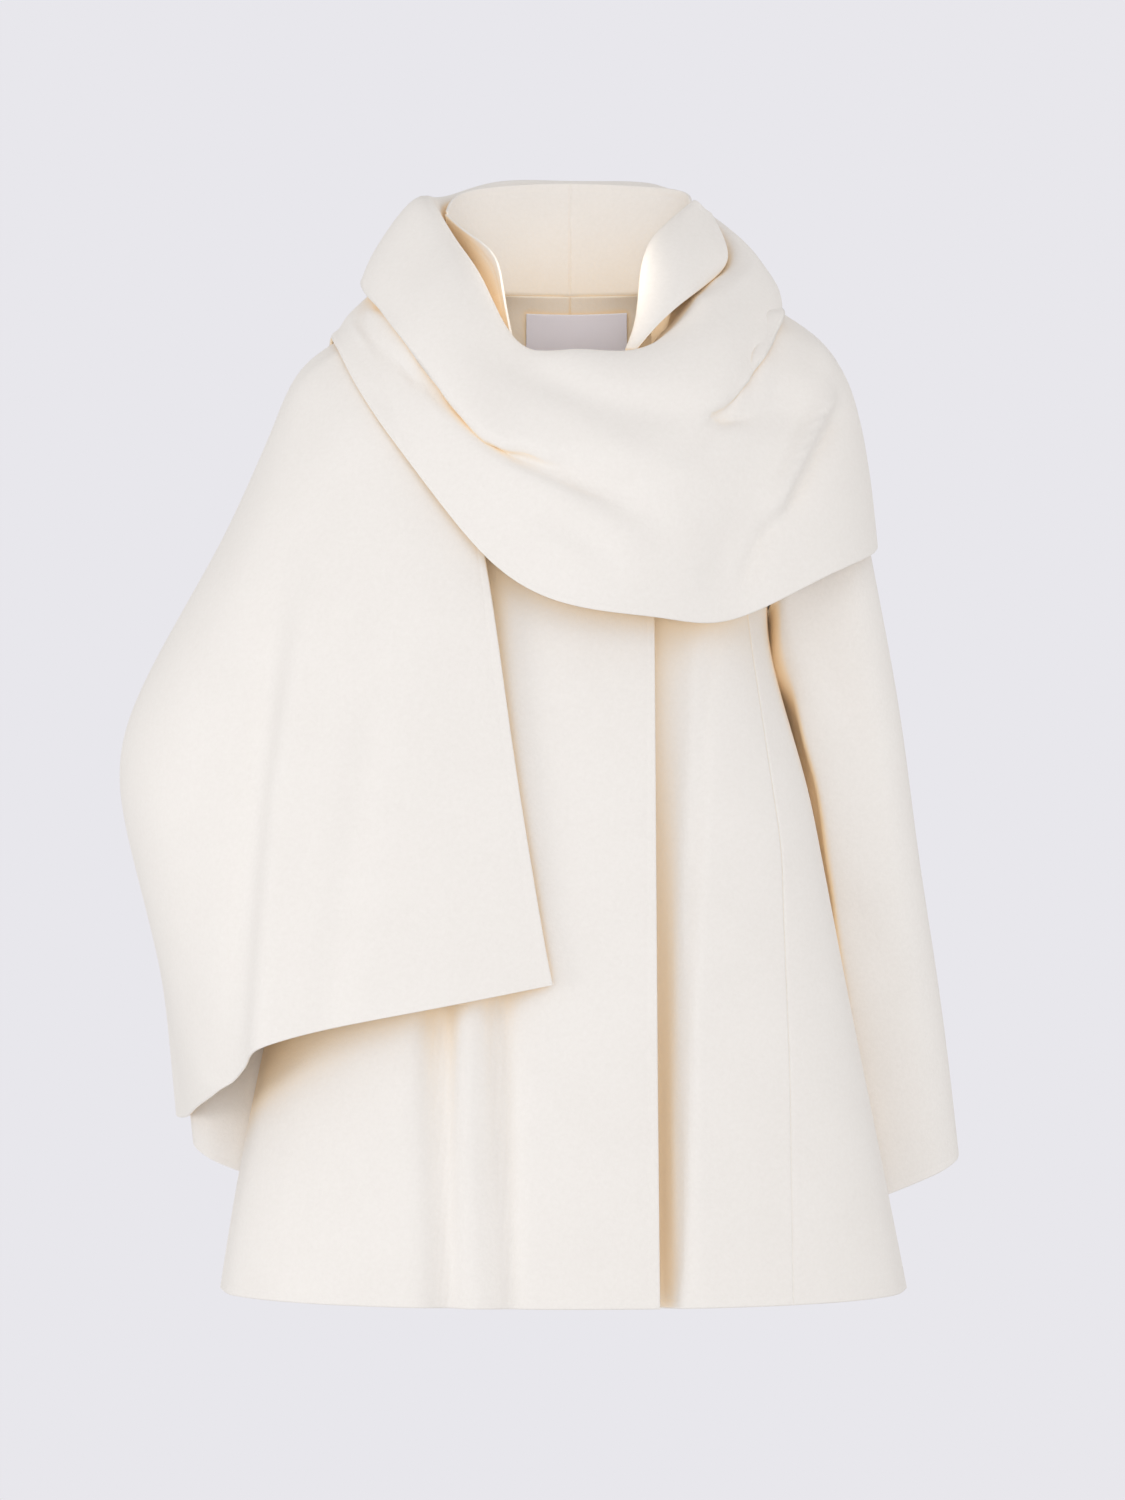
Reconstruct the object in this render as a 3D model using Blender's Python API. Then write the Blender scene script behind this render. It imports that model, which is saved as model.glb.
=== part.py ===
"""Hooded cape coat in thick double-faced wool, filled out as it is worn.

A flared coat body with two sleeves, a high open collar, a hood let down in a wide
cowl round the shoulders, and a cape panel over the wearer's right arm. Sizes in
the tables are millimetres. The origin is the middle of the neck opening, where the
wearer's neck holds the garment. +Z is up, the front faces -Y, and +X is the
wearer's left. Every piece is a grid through a table of sections, given a wall.
"""

import bpy
import numpy as np

MM = 0.001
WALL = 2.5  # thickness of the wool
SEAM = 0.35  # each side of a seam stops this far short of it
SHOULDER_SEAM = 1.0  # the same at the shoulder, where the two sides meet at an angle
LAP = 7.0  # the closed front's under layer lies this far behind the upper one
LAYER = 5.0  # from the middle of one layer of wool to the middle of the next
REACH = 30.0  # a layer is kept clear of what lies this far under or over it,
ASIDE = 11.0  # and no further aside than this,
EDGE_ASIDE = 4.0  # or this, beside the collar front that turns down over the cowl
TIP_COLUMNS = 2  # the flat tip of that collar front, which nothing is moved clear of
ARMHOLE_ROWS = 5  # rows of the body's nets that the armhole runs down
ARMHOLE_GAP = 3.2  # from the middle of the body's wool to the middle of the sleeve's
SEWN = 2.9  # the same where a piece is sewn flat on another
LIFT = 2.2  # the collar stands this far above the neck edge it is sewn to
HEM_LEVEL = -777.0
FAR = 1000.0  # a line past the side seam, so that a panel reaches the seam
SIDE_Y = -15.0  # the side seams lie this far from the middle, toward the front
BODY_STEPS = (6, 14)  # grid steps down the body, above and below the chest
MIDDLE_COLUMN = 6  # of a body net, the line down the middle
COLUMNS = {"front_right": 16, "front_left": 14, "side_left": 6, "back": 10}
SLEEVE_STEPS = (20, 14)  # round a sleeve and down it
FREE_RINGS = 4  # a sleeve's first rings run into the armhole and aren't moved clear
CAPE_STEPS = (16, 20)  # down the cape and across it
COLLAR_STEPS = (7, 18)  # up the collar's back and along it
COLLAR_FRONT_STEPS = 8  # along a collar front
COWL_AROUND = 60
COAT_COLOUR = (0.82, 0.78, 0.71, 1.0)
LABEL_COLOUR = (0.80, 0.78, 0.86, 1.0)

# Body below the armpits: height, then how far the cloth stands from the middle at
# the wearer's right, the left, the front and the back, and how square the ring is.
BODY = (
    # level, right, left, front, back, squareness
    (-250.0, 155.0, 152.0, 131.0, 100.0, 2.30),
    (-400.0, 192.0, 186.0, 142.0, 112.0, 2.30),
    (-546.0, 228.0, 214.5, 152.0, 124.0, 2.25),
    (-702.0, 259.0, 246.0, 164.0, 136.0, 2.20),
    (HEM_LEVEL, 271.0, 261.0, 170.0, 140.0, 2.15),
)

# Body above the armpits, one half: seven points from the middle out to the
# armhole. The fourth point of the first row is where neck and shoulder meet.
FRONT_TOP = {
    "neck and shoulder": (
        (0, -95, -68), (36, -88, -60), (64, -58, -35), (78, -8, -2),
        (116, -4, -18), (152, -2, -34), (185, 0, -50),
    ),
    "below the shoulder": (
        (0, -99, -80), (38, -95, -73), (68, -73, -52), (88, -38, -17),
        (120, -34, -27), (153, -31, -41), (182, -28, -57),
    ),
    "chest": (
        (0, -110, -118), (45, -108, -114), (85, -101, -106), (118, -88, -99),
        (145, -74, -97), (160, -65, -99), (172, -57, -103),
    ),
    "bust": (
        (0, -122, -182), (50, -121, -182), (92, -111, -182), (122, -96, -182),
        (142, -81, -182), (154, -70, -182), (162, -60, -184),
    ),
}
BACK_TOP = {
    "neck and shoulder": (
        (0, 78, 2), (36, 70, 2), (64, 38, 1), (78, -8, -2),
        (116, -4, -18), (152, -2, -34), (185, 0, -50),
    ),
    "below the shoulder": (
        (0, 82, -9), (40, 77, -8), (70, 53, -7), (88, 24, -9),
        (120, 28, -24), (153, 28, -40), (182, 28, -57),
    ),
    "shoulder blades": (
        (0, 95, -82), (45, 95, -84), (88, 92, -88), (122, 84, -92),
        (147, 73, -96), (162, 65, -99), (173, 57, -103),
    ),
    "middle of the back": (
        (0, 101, -165), (50, 101, -168), (92, 97, -172), (124, 88, -176),
        (144, 77, -179), (155, 67, -182), (163, 58, -184),
    ),
}

# Lines down the front: height, then the x of the lapped edge of the right front,
# the hidden edge of the left front under it, and the seam of the side piece.
FRONT_LINES = (
    # level, lapped edge, hidden edge, side seam
    (0.0, 62.0, 8.0, 118.0),
    (-120.0, 64.0, 8.0, 124.0),
    (-250.0, 68.0, 8.0, 134.0),
    (-430.0, 70.0, 10.0, 160.0),
    (-600.0, 72.0, 10.0, 166.0),
    (HEM_LEVEL, 73.0, 12.0, 168.0),
)

# Soft folds down the front: x under the hood and x at the hem, where the fold
# starts, its half width and its depth at the hem. A ridge has a minus depth.
FRONT_FOLDS = (
    # x above, x below, starts at, half width, depth
    (-92.0, -96.0, -430.0, 11.0, 9.0),
    (-69.0, -73.0, -430.0, 11.0, -4.0),
    (-48.0, -47.0, -430.0, 11.0, 9.0),
)

# The hollow beside the lapped edge: height, x where it is back at full height,
# and depth.
HOLLOW = (
    # level, x of its far side, depth
    (0.0, 112.0, 3.0),
    (-250.0, 112.0, 9.0),
    (-400.0, 104.0, 15.0),
    (-600.0, 98.0, 24.0),
    (HEM_LEVEL, 96.0, 30.0),
)

HOLLOW_FLOOR = 74.0  # x where the hollow is deepest
LAP_START = 100.0  # x where the under layer begins to sink behind the upper one,
LAP_RUN = 60.0  # and how far it runs to lie the whole lap behind

# Sleeves below the armhole, a row for each ring: its middle, its half width, its
# half depth, the tilt of its outer side and how far its front drops.
SLEEVE_LEFT = (
    # x, y, z, half width, half depth, tilt in degrees, front drop
    (182.0, 16.0, -175.0, 87.0, 64.0, 74.0, 0.0),
    (187.5, 25.0, -206.0, 80.0, 64.0, 67.0, 0.0),
    (197.0, 35.0, -262.0, 60.0, 58.0, 50.0, 0.0),
    (209.0, 46.0, -336.0, 50.0, 56.0, 24.0, 0.0),
    (224.0, 64.0, -440.0, 49.0, 54.0, 14.0, -0.10),
    (244.0, 93.0, -556.0, 49.0, 51.0, 14.0, -0.15),
    (264.0, 115.0, -699.0, 50.0, 50.0, 22.0, -0.15),
)
SLEEVE_RIGHT = (
    (182.8, 1.0, -179.0, 86.0, 64.0, 75.0, 0.0),
    (202.0, 4.0, -223.0, 68.0, 66.0, 62.0, 0.0),
    (232.0, 14.0, -276.0, 59.0, 62.0, 44.0, 0.0),
    (263.0, 28.0, -336.0, 58.0, 58.0, 34.0, 0.0),
    (283.0, 46.0, -402.0, 57.0, 56.0, 28.0, 0.0),
    (279.0, 66.0, -482.0, 53.0, 54.0, 21.0, -0.10),
    (264.0, 88.0, -576.0, 50.0, 49.0, 18.0, -0.20),
    (253.0, 105.0, -684.0, 50.0, 46.0, 20.0, -0.25),
)

# Cape panel over the wearer's right arm: a row for each section from its seam to
# the hem, and a column for each line that runs down the panel.
CAPE = {
    # front edge, flat front, crest, hollow, outside front
    # outermost, outside back, back, flat back, back edge
    "shoulder seam": (
        (-65, -110, -113), (-88, -102, -103), (-104, -87, -82), (-114, -67, -58), (-120, -41, -34),
        (-122, -8, -19), (-120, 26, -25), (-112, 58, -53), (-90, 81, -62), (-48, 93, -64),
    ),
    "shoulder": (
        (-72, -121, -130), (-112, -106, -112), (-142, -86, -92), (-166, -58, -68), (-181, -28, -50),
        (-185, 2, -45), (-180, 34, -52), (-160, 68, -68), (-120, 98, -92), (-60, 108, -104),
    ),
    "upper arm": (
        (-64, -138, -212), (-125, -131, -200), (-172, -112, -184), (-212, -84, -170), (-240, -44, -160),
        (-252, 4, -156), (-245, 48, -160), (-208, 92, -172), (-140, 120, -190), (-62, 124, -204),
    ),
    "above the elbow": (
        (-51, -143, -300), (-130, -147, -300), (-194, -135, -300), (-242, -106, -300), (-298, -62, -300),
        (-328, 4, -300), (-312, 66, -300), (-250, 114, -300), (-155, 138, -300), (-62, 138, -300),
    ),
    "elbow": (
        (-42, -147, -364), (-128, -152, -363), (-204, -139, -362), (-252, -109, -362), (-318, -62, -362),
        (-350, 10, -362), (-332, 80, -362), (-262, 128, -362), (-158, 148, -362), (-62, 146, -362),
    ),
    "below the elbow": (
        (-28, -153, -452), (-126, -159, -452), (-219, -141, -452), (-262, -109, -452), (-316, -56, -452),
        (-339, 18, -452), (-328, 98, -452), (-270, 154, -452), (-162, 170, -452), (-62, 160, -452),
    ),
    "above the hem": (
        (-18, -157, -510), (-126, -163, -518), (-231, -141, -530), (-266, -106, -540), (-301, -50, -548),
        (-315, 20, -552), (-312, 104, -552), (-266, 166, -548), (-162, 182, -544), (-62, 168, -540),
    ),
    "hem": (
        (-13, -159, -535), (-126, -165, -557), (-237, -138, -586), (-262, -103, -612), (-286, -50, -633),
        (-300, 14, -646), (-309, 102, -650), (-262, 168, -644), (-162, 188, -630), (-62, 174, -612),
    ),
}

# Hood let down as a cowl: a row for each direction round the neck, in degrees from
# the front toward the wearer's left. Each pair is a distance out and a height: the
# foot on the body, the rim, the roll, the fold it ends in, then, past a tuck of the given
# depth, the layer below at the shoulder, lower down and at the hem.
COWL = (
    # direction, foot, rim, roll, fold, tuck depth, shoulder, lower, hem
    (-90.0, (90, -5), (108, 68), (144, 40), (162, 4), 15.0, (174, -17), (183, -27), (191, -36)),
    (-65.0, (91, -18), (98, 34), (132, 6), (151, -34), 15.0, (160, -56), (169, -71), (177, -85)),
    (-40.0, (97, -48), (103, -4), (137, -38), (155, -84), 14.0, (161, -112), (167, -133), (171, -157)),
    (-22.0, (102, -68), (112, -49), (139, -86), (156, -124), 9.0, (159, -152), (162, -184), (163, -216)),
    (0.0, (101, -78), (112, -56), (138, -88), (156, -132), 1.0, (164, -178), (166, -214), (162, -250)),
    (25.0, (103, -70), (120, -56), (146, -84), (162, -122), 0.0, (170, -168), (172, -214), (166, -260)),
    (45.0, (96, -44), (122, -36), (152, -56), (167, -92), 6.0, (176, -140), (179, -196), (175, -260)),
    (65.0, (89, -26), (117, -5), (148, -24), (160, -62), 17.0, (183, -104), (203, -160), (212, -228)),
    (90.0, (89, -5), (131, 25), (152, 15), (163, -9), 18.0, (204, -54), (229, -122), (239, -201)),
    (120.0, (84, -2), (108, 69), (129, 52), (146, 20), 14.0, (186, -38), (206, -104), (213, -178)),
    (150.0, (86, -3), (112, 88), (140, 76), (160, 34), 12.0, (174, -42), (176, -112), (170, -186)),
    (180.0, (84, -4), (112, 90), (140, 80), (164, 34), 12.0, (170, -46), (168, -116), (160, -194)),
    (210.0, (86, -3), (112, 88), (138, 76), (160, 30), 12.0, (168, -46), (169, -114), (166, -184)),
    (240.0, (85, -2), (112, 74), (138, 57), (158, 19), 14.0, (174, -40), (186, -78), (194, -114)),
)
TUCK_REACH = ((-1.0, -0.35), (-0.25, -0.85))  # deepest point and return, per depth
FULL_TUCK = 12.0  # a tuck of less depth opens out toward a plain slope
COWL_ROOM = ((0, 4.0), (1, 5.0), (6, 5.0), (9, 15.0), (11, 15.0), (13, 9.0), (15, 5.0))  # row, gap under it
COWL_STEPS = (3, 3, 3, 2, 2, 3, 3, 3)  # grid steps between the points of a row

# Collar round the back of the neck, above its foot on the neck edge.
COLLAR = (
    # direction, middle, top
    (102.0, (88, 34), (97, 71)),
    (125.0, (92, 41), (108, 84)),
    (150.0, (88, 45), (102, 91)),
    (180.0, (86, 46), (99, 94)),
    (210.0, (88, 45), (102, 91)),
    (235.0, (91, 40), (105, 82)),
    (261.0, (88, 30), (98, 63)),
)

# Collar fronts: the direction of the foot on the neck edge, then points up to the
# outer edge. The left one turns down outward, and the right one stands.
COLLAR_FRONT_LEFT = (
    # foot direction, fold line, middle, outer edge
    (99.0, (95, 15, 69), (103, 14, 67), (110, 19, 62)),
    (84.0, (72, -20, 46), (97, -18, 41), (123, -5, 27)),
    (66.0, (59, -46, 26), (88, -46, 18), (113, -25, 8)),
    (50.0, (54, -66, -5), (75, -70, -8), (93, -58, -10)),
    (37.0, (50, -80, -34), (60, -84, -33), (69, -82, -32)),
    (27.0, (43, -88, -54), (46, -90, -54), (50, -91, -55)),
)
COLLAR_FRONT_RIGHT = (
    # foot direction, middle, top edge
    (264.0, (-91, 9, 32), (-97, 8, 60)),
    (285.0, (-76, -24, 20), (-80, -26, 43)),
    (306.0, (-63, -50, -3), (-58, -50, 22)),
    (322.0, (-55, -68, -25), (-51, -67, -7)),
    (334.0, (-44, -86, -53), (-44, -86, -46)),
)

# Woven label inside the back of the neck.
LABEL_SIDES = (-35.0, 46.0)
LABEL_LEVELS = (-12.0, -25.0, -40.0, -54.0)  # heights of its rows
LABEL_WALL = 0.6
LABEL_GAP = 1.0


def spline_weights(knots, places):
    """Weights on the knots' values of a natural cubic spline, a row for each place."""
    knots = np.asarray(knots, float)
    places = np.clip(places, knots[0], knots[-1])
    count = len(knots)
    step = np.diff(knots)
    inner = np.arange(1, count - 1)
    left = np.eye(count)
    right = np.zeros((count, count))
    left[inner, inner - 1] = step[:-1]
    left[inner, inner] = 2 * (step[:-1] + step[1:])
    left[inner, inner + 1] = step[1:]
    right[inner, inner - 1] = 6 / step[:-1]
    right[inner, inner] = -6 / step[:-1] - 6 / step[1:]
    right[inner, inner + 1] = 6 / step[1:]
    bend = np.linalg.solve(left, right)
    low = np.clip(np.searchsorted(knots, places, side="right") - 1, 0, count - 2)
    width = step[low]
    a = ((knots[low + 1] - places) / width)[..., None]
    b = 1 - a
    unit = np.eye(count)
    curve = (a**3 - a) * bend[low] + (b**3 - b) * bend[low + 1]
    return a * unit[low] + b * unit[low + 1] + curve * width[..., None] ** 2 / 6


def even(first, last, steps):
    return np.linspace(first, last, steps + 1)


def row_knots(net):
    """One knot for each row of a net, spaced by how far apart the rows lie."""
    gaps = np.linalg.norm(np.diff(net, axis=0), axis=2).mean(axis=1)
    return np.concatenate([[0], np.cumsum(gaps)])


def table_at(table, levels):
    """The columns of a table whose first column is a height, read at these heights."""
    rows = np.array(table, float)[::-1]
    return [np.interp(levels, rows[:, 0], rows[:, k]) for k in range(1, rows.shape[1])]


def steady_rows(net, knots, places):
    """A net read between its rows, with no overshoot where it turns a corner."""
    more = (1,) * (net.ndim - 1)
    step = np.diff(knots).reshape(-1, *more)
    slope = np.diff(net, axis=0) / step
    before, after = slope[:-1], slope[1:]
    both = before + after
    same = before * after > 0
    middle = np.where(same, 2 * before * after / np.where(same, both, 1), 0)
    turn = np.concatenate([slope[:1], middle, slope[-1:]])
    low = np.clip(np.searchsorted(knots, places, side="right") - 1, 0, len(knots) - 2)
    width = step[low]
    t = (places - knots[low]).reshape(-1, *more) / width
    held = (1 + 2 * t) * (1 - t) ** 2 * net[low] + t**2 * (3 - 2 * t) * net[low + 1]
    return held + width * t * (1 - t) * ((1 - t) * turn[low] - t * turn[low + 1])


def surface_normals(grid):
    """Unit normals of a grid, from the differences along its rows and columns."""
    across = np.cross(np.gradient(grid, axis=0), np.gradient(grid, axis=1))
    return across / np.linalg.norm(across, axis=2, keepdims=True)


def halved(grid):
    """A grid with a point added half way along each step, both ways."""
    for _ in range(2):
        between = (grid[1:] + grid[:-1]) / 2
        more = np.empty((len(grid) + len(between), *grid.shape[1:]))
        more[::2], more[1::2] = grid, between
        grid = more.transpose(1, 0, 2)
    return grid


def outward(grid, closed=False, aside=ASIDE):
    """Points and normals of a grid, those of its top rows turned away from the middle."""
    if closed:
        grid = np.concatenate([grid, grid[:, :1]], axis=1)
    grid = halved(grid)
    normal = surface_normals(grid)
    middle = (grid.min(axis=1, keepdims=True) + grid.max(axis=1, keepdims=True)) / 2
    if not closed:
        middle = middle * (0, 0, 1) + (0, 30, 0)
    top = len(grid) // 3
    out = ((grid - middle)[:top, :, :2] * normal[:top, :, :2]).sum()
    return grid.reshape(-1, 3), (normal * np.sign(out)).reshape(-1, 3), aside


def cleared(grid, under, gaps, closed=False):
    """The grid, with each stretch nearer than its gap to a piece under it moved out."""
    gaps = np.broadcast_to(gaps, (len(grid), 1))
    if closed:
        grid = np.concatenate([grid[:, -1:], grid, grid[:, :1]], axis=1)
    for _ in range(2):
        fine = halved(grid)
        wanted = np.interp(np.arange(len(fine)) / 2, np.arange(len(grid)), gaps[:, 0])
        wanted = np.repeat(wanted, fine.shape[1])
        start = fine.reshape(-1, 3)
        moved = start
        for points, normals, most_aside in under:
            near = np.linalg.norm(moved[:, None] - points[None], axis=2).argmin(axis=1)
            offset = moved - points[near]
            height = (offset * normals[near]).sum(axis=1)
            aside = np.linalg.norm(offset - height[:, None] * normals[near], axis=1)
            over = (aside < most_aside) & (np.abs(height) < REACH)
            short = np.clip(wanted - height, 0, None) * over
            moved = moved + normals[near] * short[:, None]
        shift = np.pad((moved - start).reshape(fine.shape), ((1, 1), (1, 1), (0, 0)), "edge")
        rows, columns = fine.shape[:2]
        around = np.array(
            [shift[r : r + rows : 2, c : c + columns : 2] for r in range(3) for c in range(3)]
        )
        most = np.linalg.norm(around, axis=3).argmax(axis=0)
        grid = grid + np.take_along_axis(around, most[None, ..., None], axis=0)[0]
    return grid[:, 1:-1] if closed else grid


def laid_on(line, under, gap):
    """A line of points brought to this distance from the nearest piece under it."""
    points = np.concatenate([pair[0] for pair in under])
    normals = np.concatenate([pair[1] for pair in under])
    for _ in range(3):
        near = np.linalg.norm(line[:, None] - points[None], axis=2).argmin(axis=1)
        height = ((line - points[near]) * normals[near]).sum(axis=1)
        line = line + normals[near] * (gap - height)[:, None]
    return line


def neck_edge(front, back, directions):
    """The body's neck edge, raised by the lift, at directions from the front."""
    edge = np.vstack([front[0, 3:10], back[0, 4:9][::-1]])
    turn = np.degrees(np.arctan2(edge[:, 0], -edge[:, 1])) % 360
    order = np.argsort(turn)
    turn = turn[order]
    edge = edge[order]
    turn = np.concatenate([turn[-2:] - 360, turn, turn[:2] + 360])
    edge = np.concatenate([edge[-2:], edge, edge[:2]])
    return spline_weights(turn, np.asarray(directions) % 360) @ edge + (0, 0, LIFT)


def label_grid(back_cloth):
    """A small rectangle on the inside of the back, laid along its facets."""
    middle = back_cloth.shape[1] // 2
    rows = np.interp([-z for z in LABEL_LEVELS], -back_cloth[:, middle, 2], np.arange(len(back_cloth)))
    x = even(*LABEL_SIDES, 8)
    lines = []
    for row in rows:
        low = int(row)
        cloth = back_cloth[low] + (row - low) * (back_cloth[low + 1] - back_cloth[low])
        lines.append([x, np.interp(x, cloth[:, 0], cloth[:, 1]), np.interp(x, cloth[:, 0], cloth[:, 2])])
    label = np.array(lines).transpose(0, 2, 1)
    inward = surface_normals(label)
    inward *= -np.sign(inward[..., 1:2].mean())
    return label + inward * (WALL / 2 + LABEL_GAP + LABEL_WALL / 2)


def wool(name, colour, roughness):
    material = bpy.data.materials.new(name)
    material.use_nodes = True
    shader = material.node_tree.nodes["Principled BSDF"]
    shader.inputs["Base Color"].default_value = colour
    shader.inputs["Roughness"].default_value = roughness
    return material


def piece(name, grid, wall=WALL, closed=False, colour=COAT_COLOUR):
    """An object from a grid of points in millimetres, given its wall by a Solidify."""
    rows, columns = grid.shape[:2]
    index = np.arange(rows * columns).reshape(rows, columns)
    if closed:
        index = np.hstack([index, index[:, :1]])
    quads = np.stack(
        [index[:-1, :-1], index[1:, :-1], index[1:, 1:], index[:-1, 1:]], axis=-1
    ).reshape(-1, 4)
    mesh = bpy.data.meshes.new(name)
    mesh.from_pydata((grid.reshape(-1, 3) * MM).tolist(), [], quads.tolist())
    mesh.shade_smooth()
    obj = bpy.data.objects.new(name, mesh)
    bpy.context.scene.collection.objects.link(obj)
    solidify = obj.modifiers.new("Wall", "SOLIDIFY")
    solidify.thickness = wall * MM
    solidify.offset = 0
    mesh.materials.append(wool(name, colour, 0.9))
    return obj


def ring_row(row, directions):
    """One ring of the body: a rounded square with its own depth on every side."""
    level, right, left, front, back, squareness = row
    turn = np.radians(directions)
    across = np.sign(np.sin(turn)) * np.abs(np.sin(turn)) ** (2 / squareness)
    along = np.sign(np.cos(turn)) * np.abs(np.cos(turn)) ** (2 / squareness)
    x = across * np.where(across < 0, right, left)
    y = SIDE_Y - along * np.where(along > 0, front + SIDE_Y, back - SIDE_Y)
    return np.stack([x, y, np.full_like(x, level)], axis=-1)


def body_net(top, turns):
    """Rows of points across the front or the back, from its right seam to its left."""
    rows = []
    for half in top.values():
        half = np.array(half, float)
        mirrored = half[:0:-1] * (-1, 1, 1)
        rows.append(np.vstack([mirrored, half]))
    rows.extend(ring_row(row, turns) for row in BODY)
    return np.array(rows)


def body_panel(net, rows_at, first, last, columns):
    """A grid cut from a body net between two lines, each given as an x for each row."""
    knots = row_knots(net)
    turns = even(-1, 1, net.shape[1] - 1)
    down = steady_rows(net, knots, rows_at)
    fine = even(-1, 1, 400)
    lines = steady_rows(down.transpose(1, 0, 2), turns, fine).transpose(1, 0, 2)
    share = even(0, 1, columns)
    grid = []
    for row, line, start, end in zip(down, lines, first, last):
        length = np.concatenate([[0], np.cumsum(np.linalg.norm(np.diff(line, axis=0), axis=1))])
        a = np.interp(start, line[:, 0], length) + SEAM
        b = np.interp(end, line[:, 0], length) - SEAM
        grid.append(steady_rows(row, turns, np.interp(a + (b - a) * share, length, fine)))
    return np.array(grid)


def along_front(net, steps):
    """Places down a body net, closer together where the shoulders turn."""
    knots = row_knots(net)
    start = knots[0] + SHOULDER_SEAM
    return np.concatenate([
        even(start, knots[3], steps[0])[:-1],
        even(knots[3], knots[-1], steps[1]),
    ])


def with_folds(grid, under):
    """Sinks the soft folds into the right front, and the hollow into the left one under it."""
    normal = surface_normals(grid)
    normal *= np.sign(-normal[..., 1:2].mean())
    x, level = grid[..., 0], grid[..., 2]
    sink = np.zeros_like(x)
    if under:
        far, depth = table_at(HOLLOW, level)
        share = np.clip((far - x) / (far - HOLLOW_FLOOR), 0, 1)
        sink += LAP * np.clip((LAP_START - x) / LAP_RUN, 0, 1) + depth * share**2 * (3 - 2 * share)
    else:
        for above, below, start, width, depth in FRONT_FOLDS:
            fall = np.clip((start - level) / (start - HEM_LEVEL), 0, 1)
            middle = above + (below - above) * fall
            sink += depth * np.sqrt(fall) * np.exp(-(((x - middle) / width) ** 2))
    return grid - normal * sink[..., None]


def armhole(front, back, side):
    """The armhole round one side, from the shoulder down the front and up the back."""
    down = front[:ARMHOLE_ROWS, side]
    up = back[:ARMHOLE_ROWS, side][::-1]
    return np.vstack([down, up[1:-1]])


def sleeve(table, hole, sign, around, along):
    """A tube from the armhole through the rings of the table down to the cuff."""
    turn = np.radians(360 / around * np.arange(around))[:, None]
    rings = []
    for x, y, z, width, depth, tilt, drop in table:
        out = np.array([sign * np.cos(np.radians(tilt)), 0, np.sin(np.radians(tilt))])
        fore = np.array([0, -1, drop])
        middle = np.array([sign * x, y, z])
        rings.append(middle + width * np.cos(turn) * out + depth * np.sin(turn) * fore)
    closed_hole = np.vstack([hole[-2:], hole, hole[:3]])
    spacing = np.concatenate([[0], np.cumsum(np.linalg.norm(np.diff(closed_hole, axis=0), axis=1))])
    spacing -= spacing[2]
    length = spacing[-3]
    first = spline_weights(spacing, length * np.arange(around) / around) @ closed_hole
    net = np.array([first + (sign * ARMHOLE_GAP, 0, 0)] + rings)
    knots = row_knots(net)
    return np.einsum("rk,kcj->rcj", spline_weights(knots, even(0, knots[-1], along)), net)


def polar(direction, pair):
    turn = np.radians(direction)
    return (pair[0] * np.sin(turn), -pair[0] * np.cos(turn), pair[1])


def cowl_rows():
    """The cowl's table as rows of points, each row one direction round the neck."""
    rows = []
    for direction, inner, rim, roll, fold, depth, shoulder, lower, hem in COWL:
        opened = max(0.0, 1 - depth / FULL_TUCK)
        tucks = []
        for step, (u, v) in enumerate(TUCK_REACH, start=1):
            share = opened * step / (len(TUCK_REACH) + 1)
            out = fold[0] + share * (shoulder[0] - fold[0]) + depth * u
            tucks.append((out, fold[1] + share * (shoulder[1] - fold[1]) + depth * v))
        pairs = [inner, rim, roll, fold, *tucks, shoulder, lower, hem]
        rows.append([polar(direction, pair) for pair in pairs])
    return np.array(rows)


def cowl_grid(around):
    """A closed ring: splines round the neck first, then down each profile."""
    rows = cowl_rows()
    directions = np.array([row[0] for row in COWL])
    wrapped = np.concatenate([directions[-4:] - 360, directions, directions[:4] + 360])
    net = np.concatenate([rows[-4:], rows, rows[:4]])
    turns = -90 + 360 / around * np.arange(around)
    ring = np.einsum("ak,kpj->apj", spline_weights(wrapped, turns), net)
    stops = [0.0]
    for k, steps in enumerate(COWL_STEPS):
        stops.extend(k + (np.arange(steps) + 1) / steps)
    down = spline_weights(np.arange(9), np.array(stops))
    return np.einsum("sp,apj->saj", down, ring)


def net_grid(net, rows, columns):
    """A smooth grid through a net of points, with that many steps each way."""
    net = np.array(net, float)
    down = row_knots(net)
    over = row_knots(net.transpose(1, 0, 2))
    down_at = even(0, down[-1], rows)
    over_at = even(0, over[-1], columns)
    return np.einsum(
        "ra,cb,abj->rcj", spline_weights(down, down_at), spline_weights(over, over_at), net
    )


for old in list(bpy.data.objects):
    bpy.data.objects.remove(old)

front = body_net(FRONT_TOP, even(-90, 90, 2 * MIDDLE_COLUMN))
back = body_net(BACK_TOP, even(270, 90, 2 * MIDDLE_COLUMN))
front_rows = along_front(front, BODY_STEPS)
back_rows = along_front(back, BODY_STEPS)
levels = steady_rows(front, row_knots(front), front_rows)[:, MIDDLE_COLUMN, 2]
lapped, hidden, side_line = table_at(FRONT_LINES, levels)
middle_line = np.zeros_like(levels)
far_right, far_left = middle_line - FAR, middle_line + FAR

upper = body_panel(front, front_rows, far_right, lapped, COLUMNS["front_right"])
lower = body_panel(front, front_rows, hidden, side_line, COLUMNS["front_left"])
grids = {
    "front_right": with_folds(upper, False),
    "front_left": with_folds(lower, True),
    "side_left": body_panel(front, front_rows, side_line, far_left, COLUMNS["side_left"]),
    "back_right": body_panel(back, back_rows, far_right, middle_line, COLUMNS["back"]),
    "back_left": body_panel(back, back_rows, middle_line, far_left, COLUMNS["back"]),
}
body = [outward(grid) for grid in grids.values()]

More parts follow.
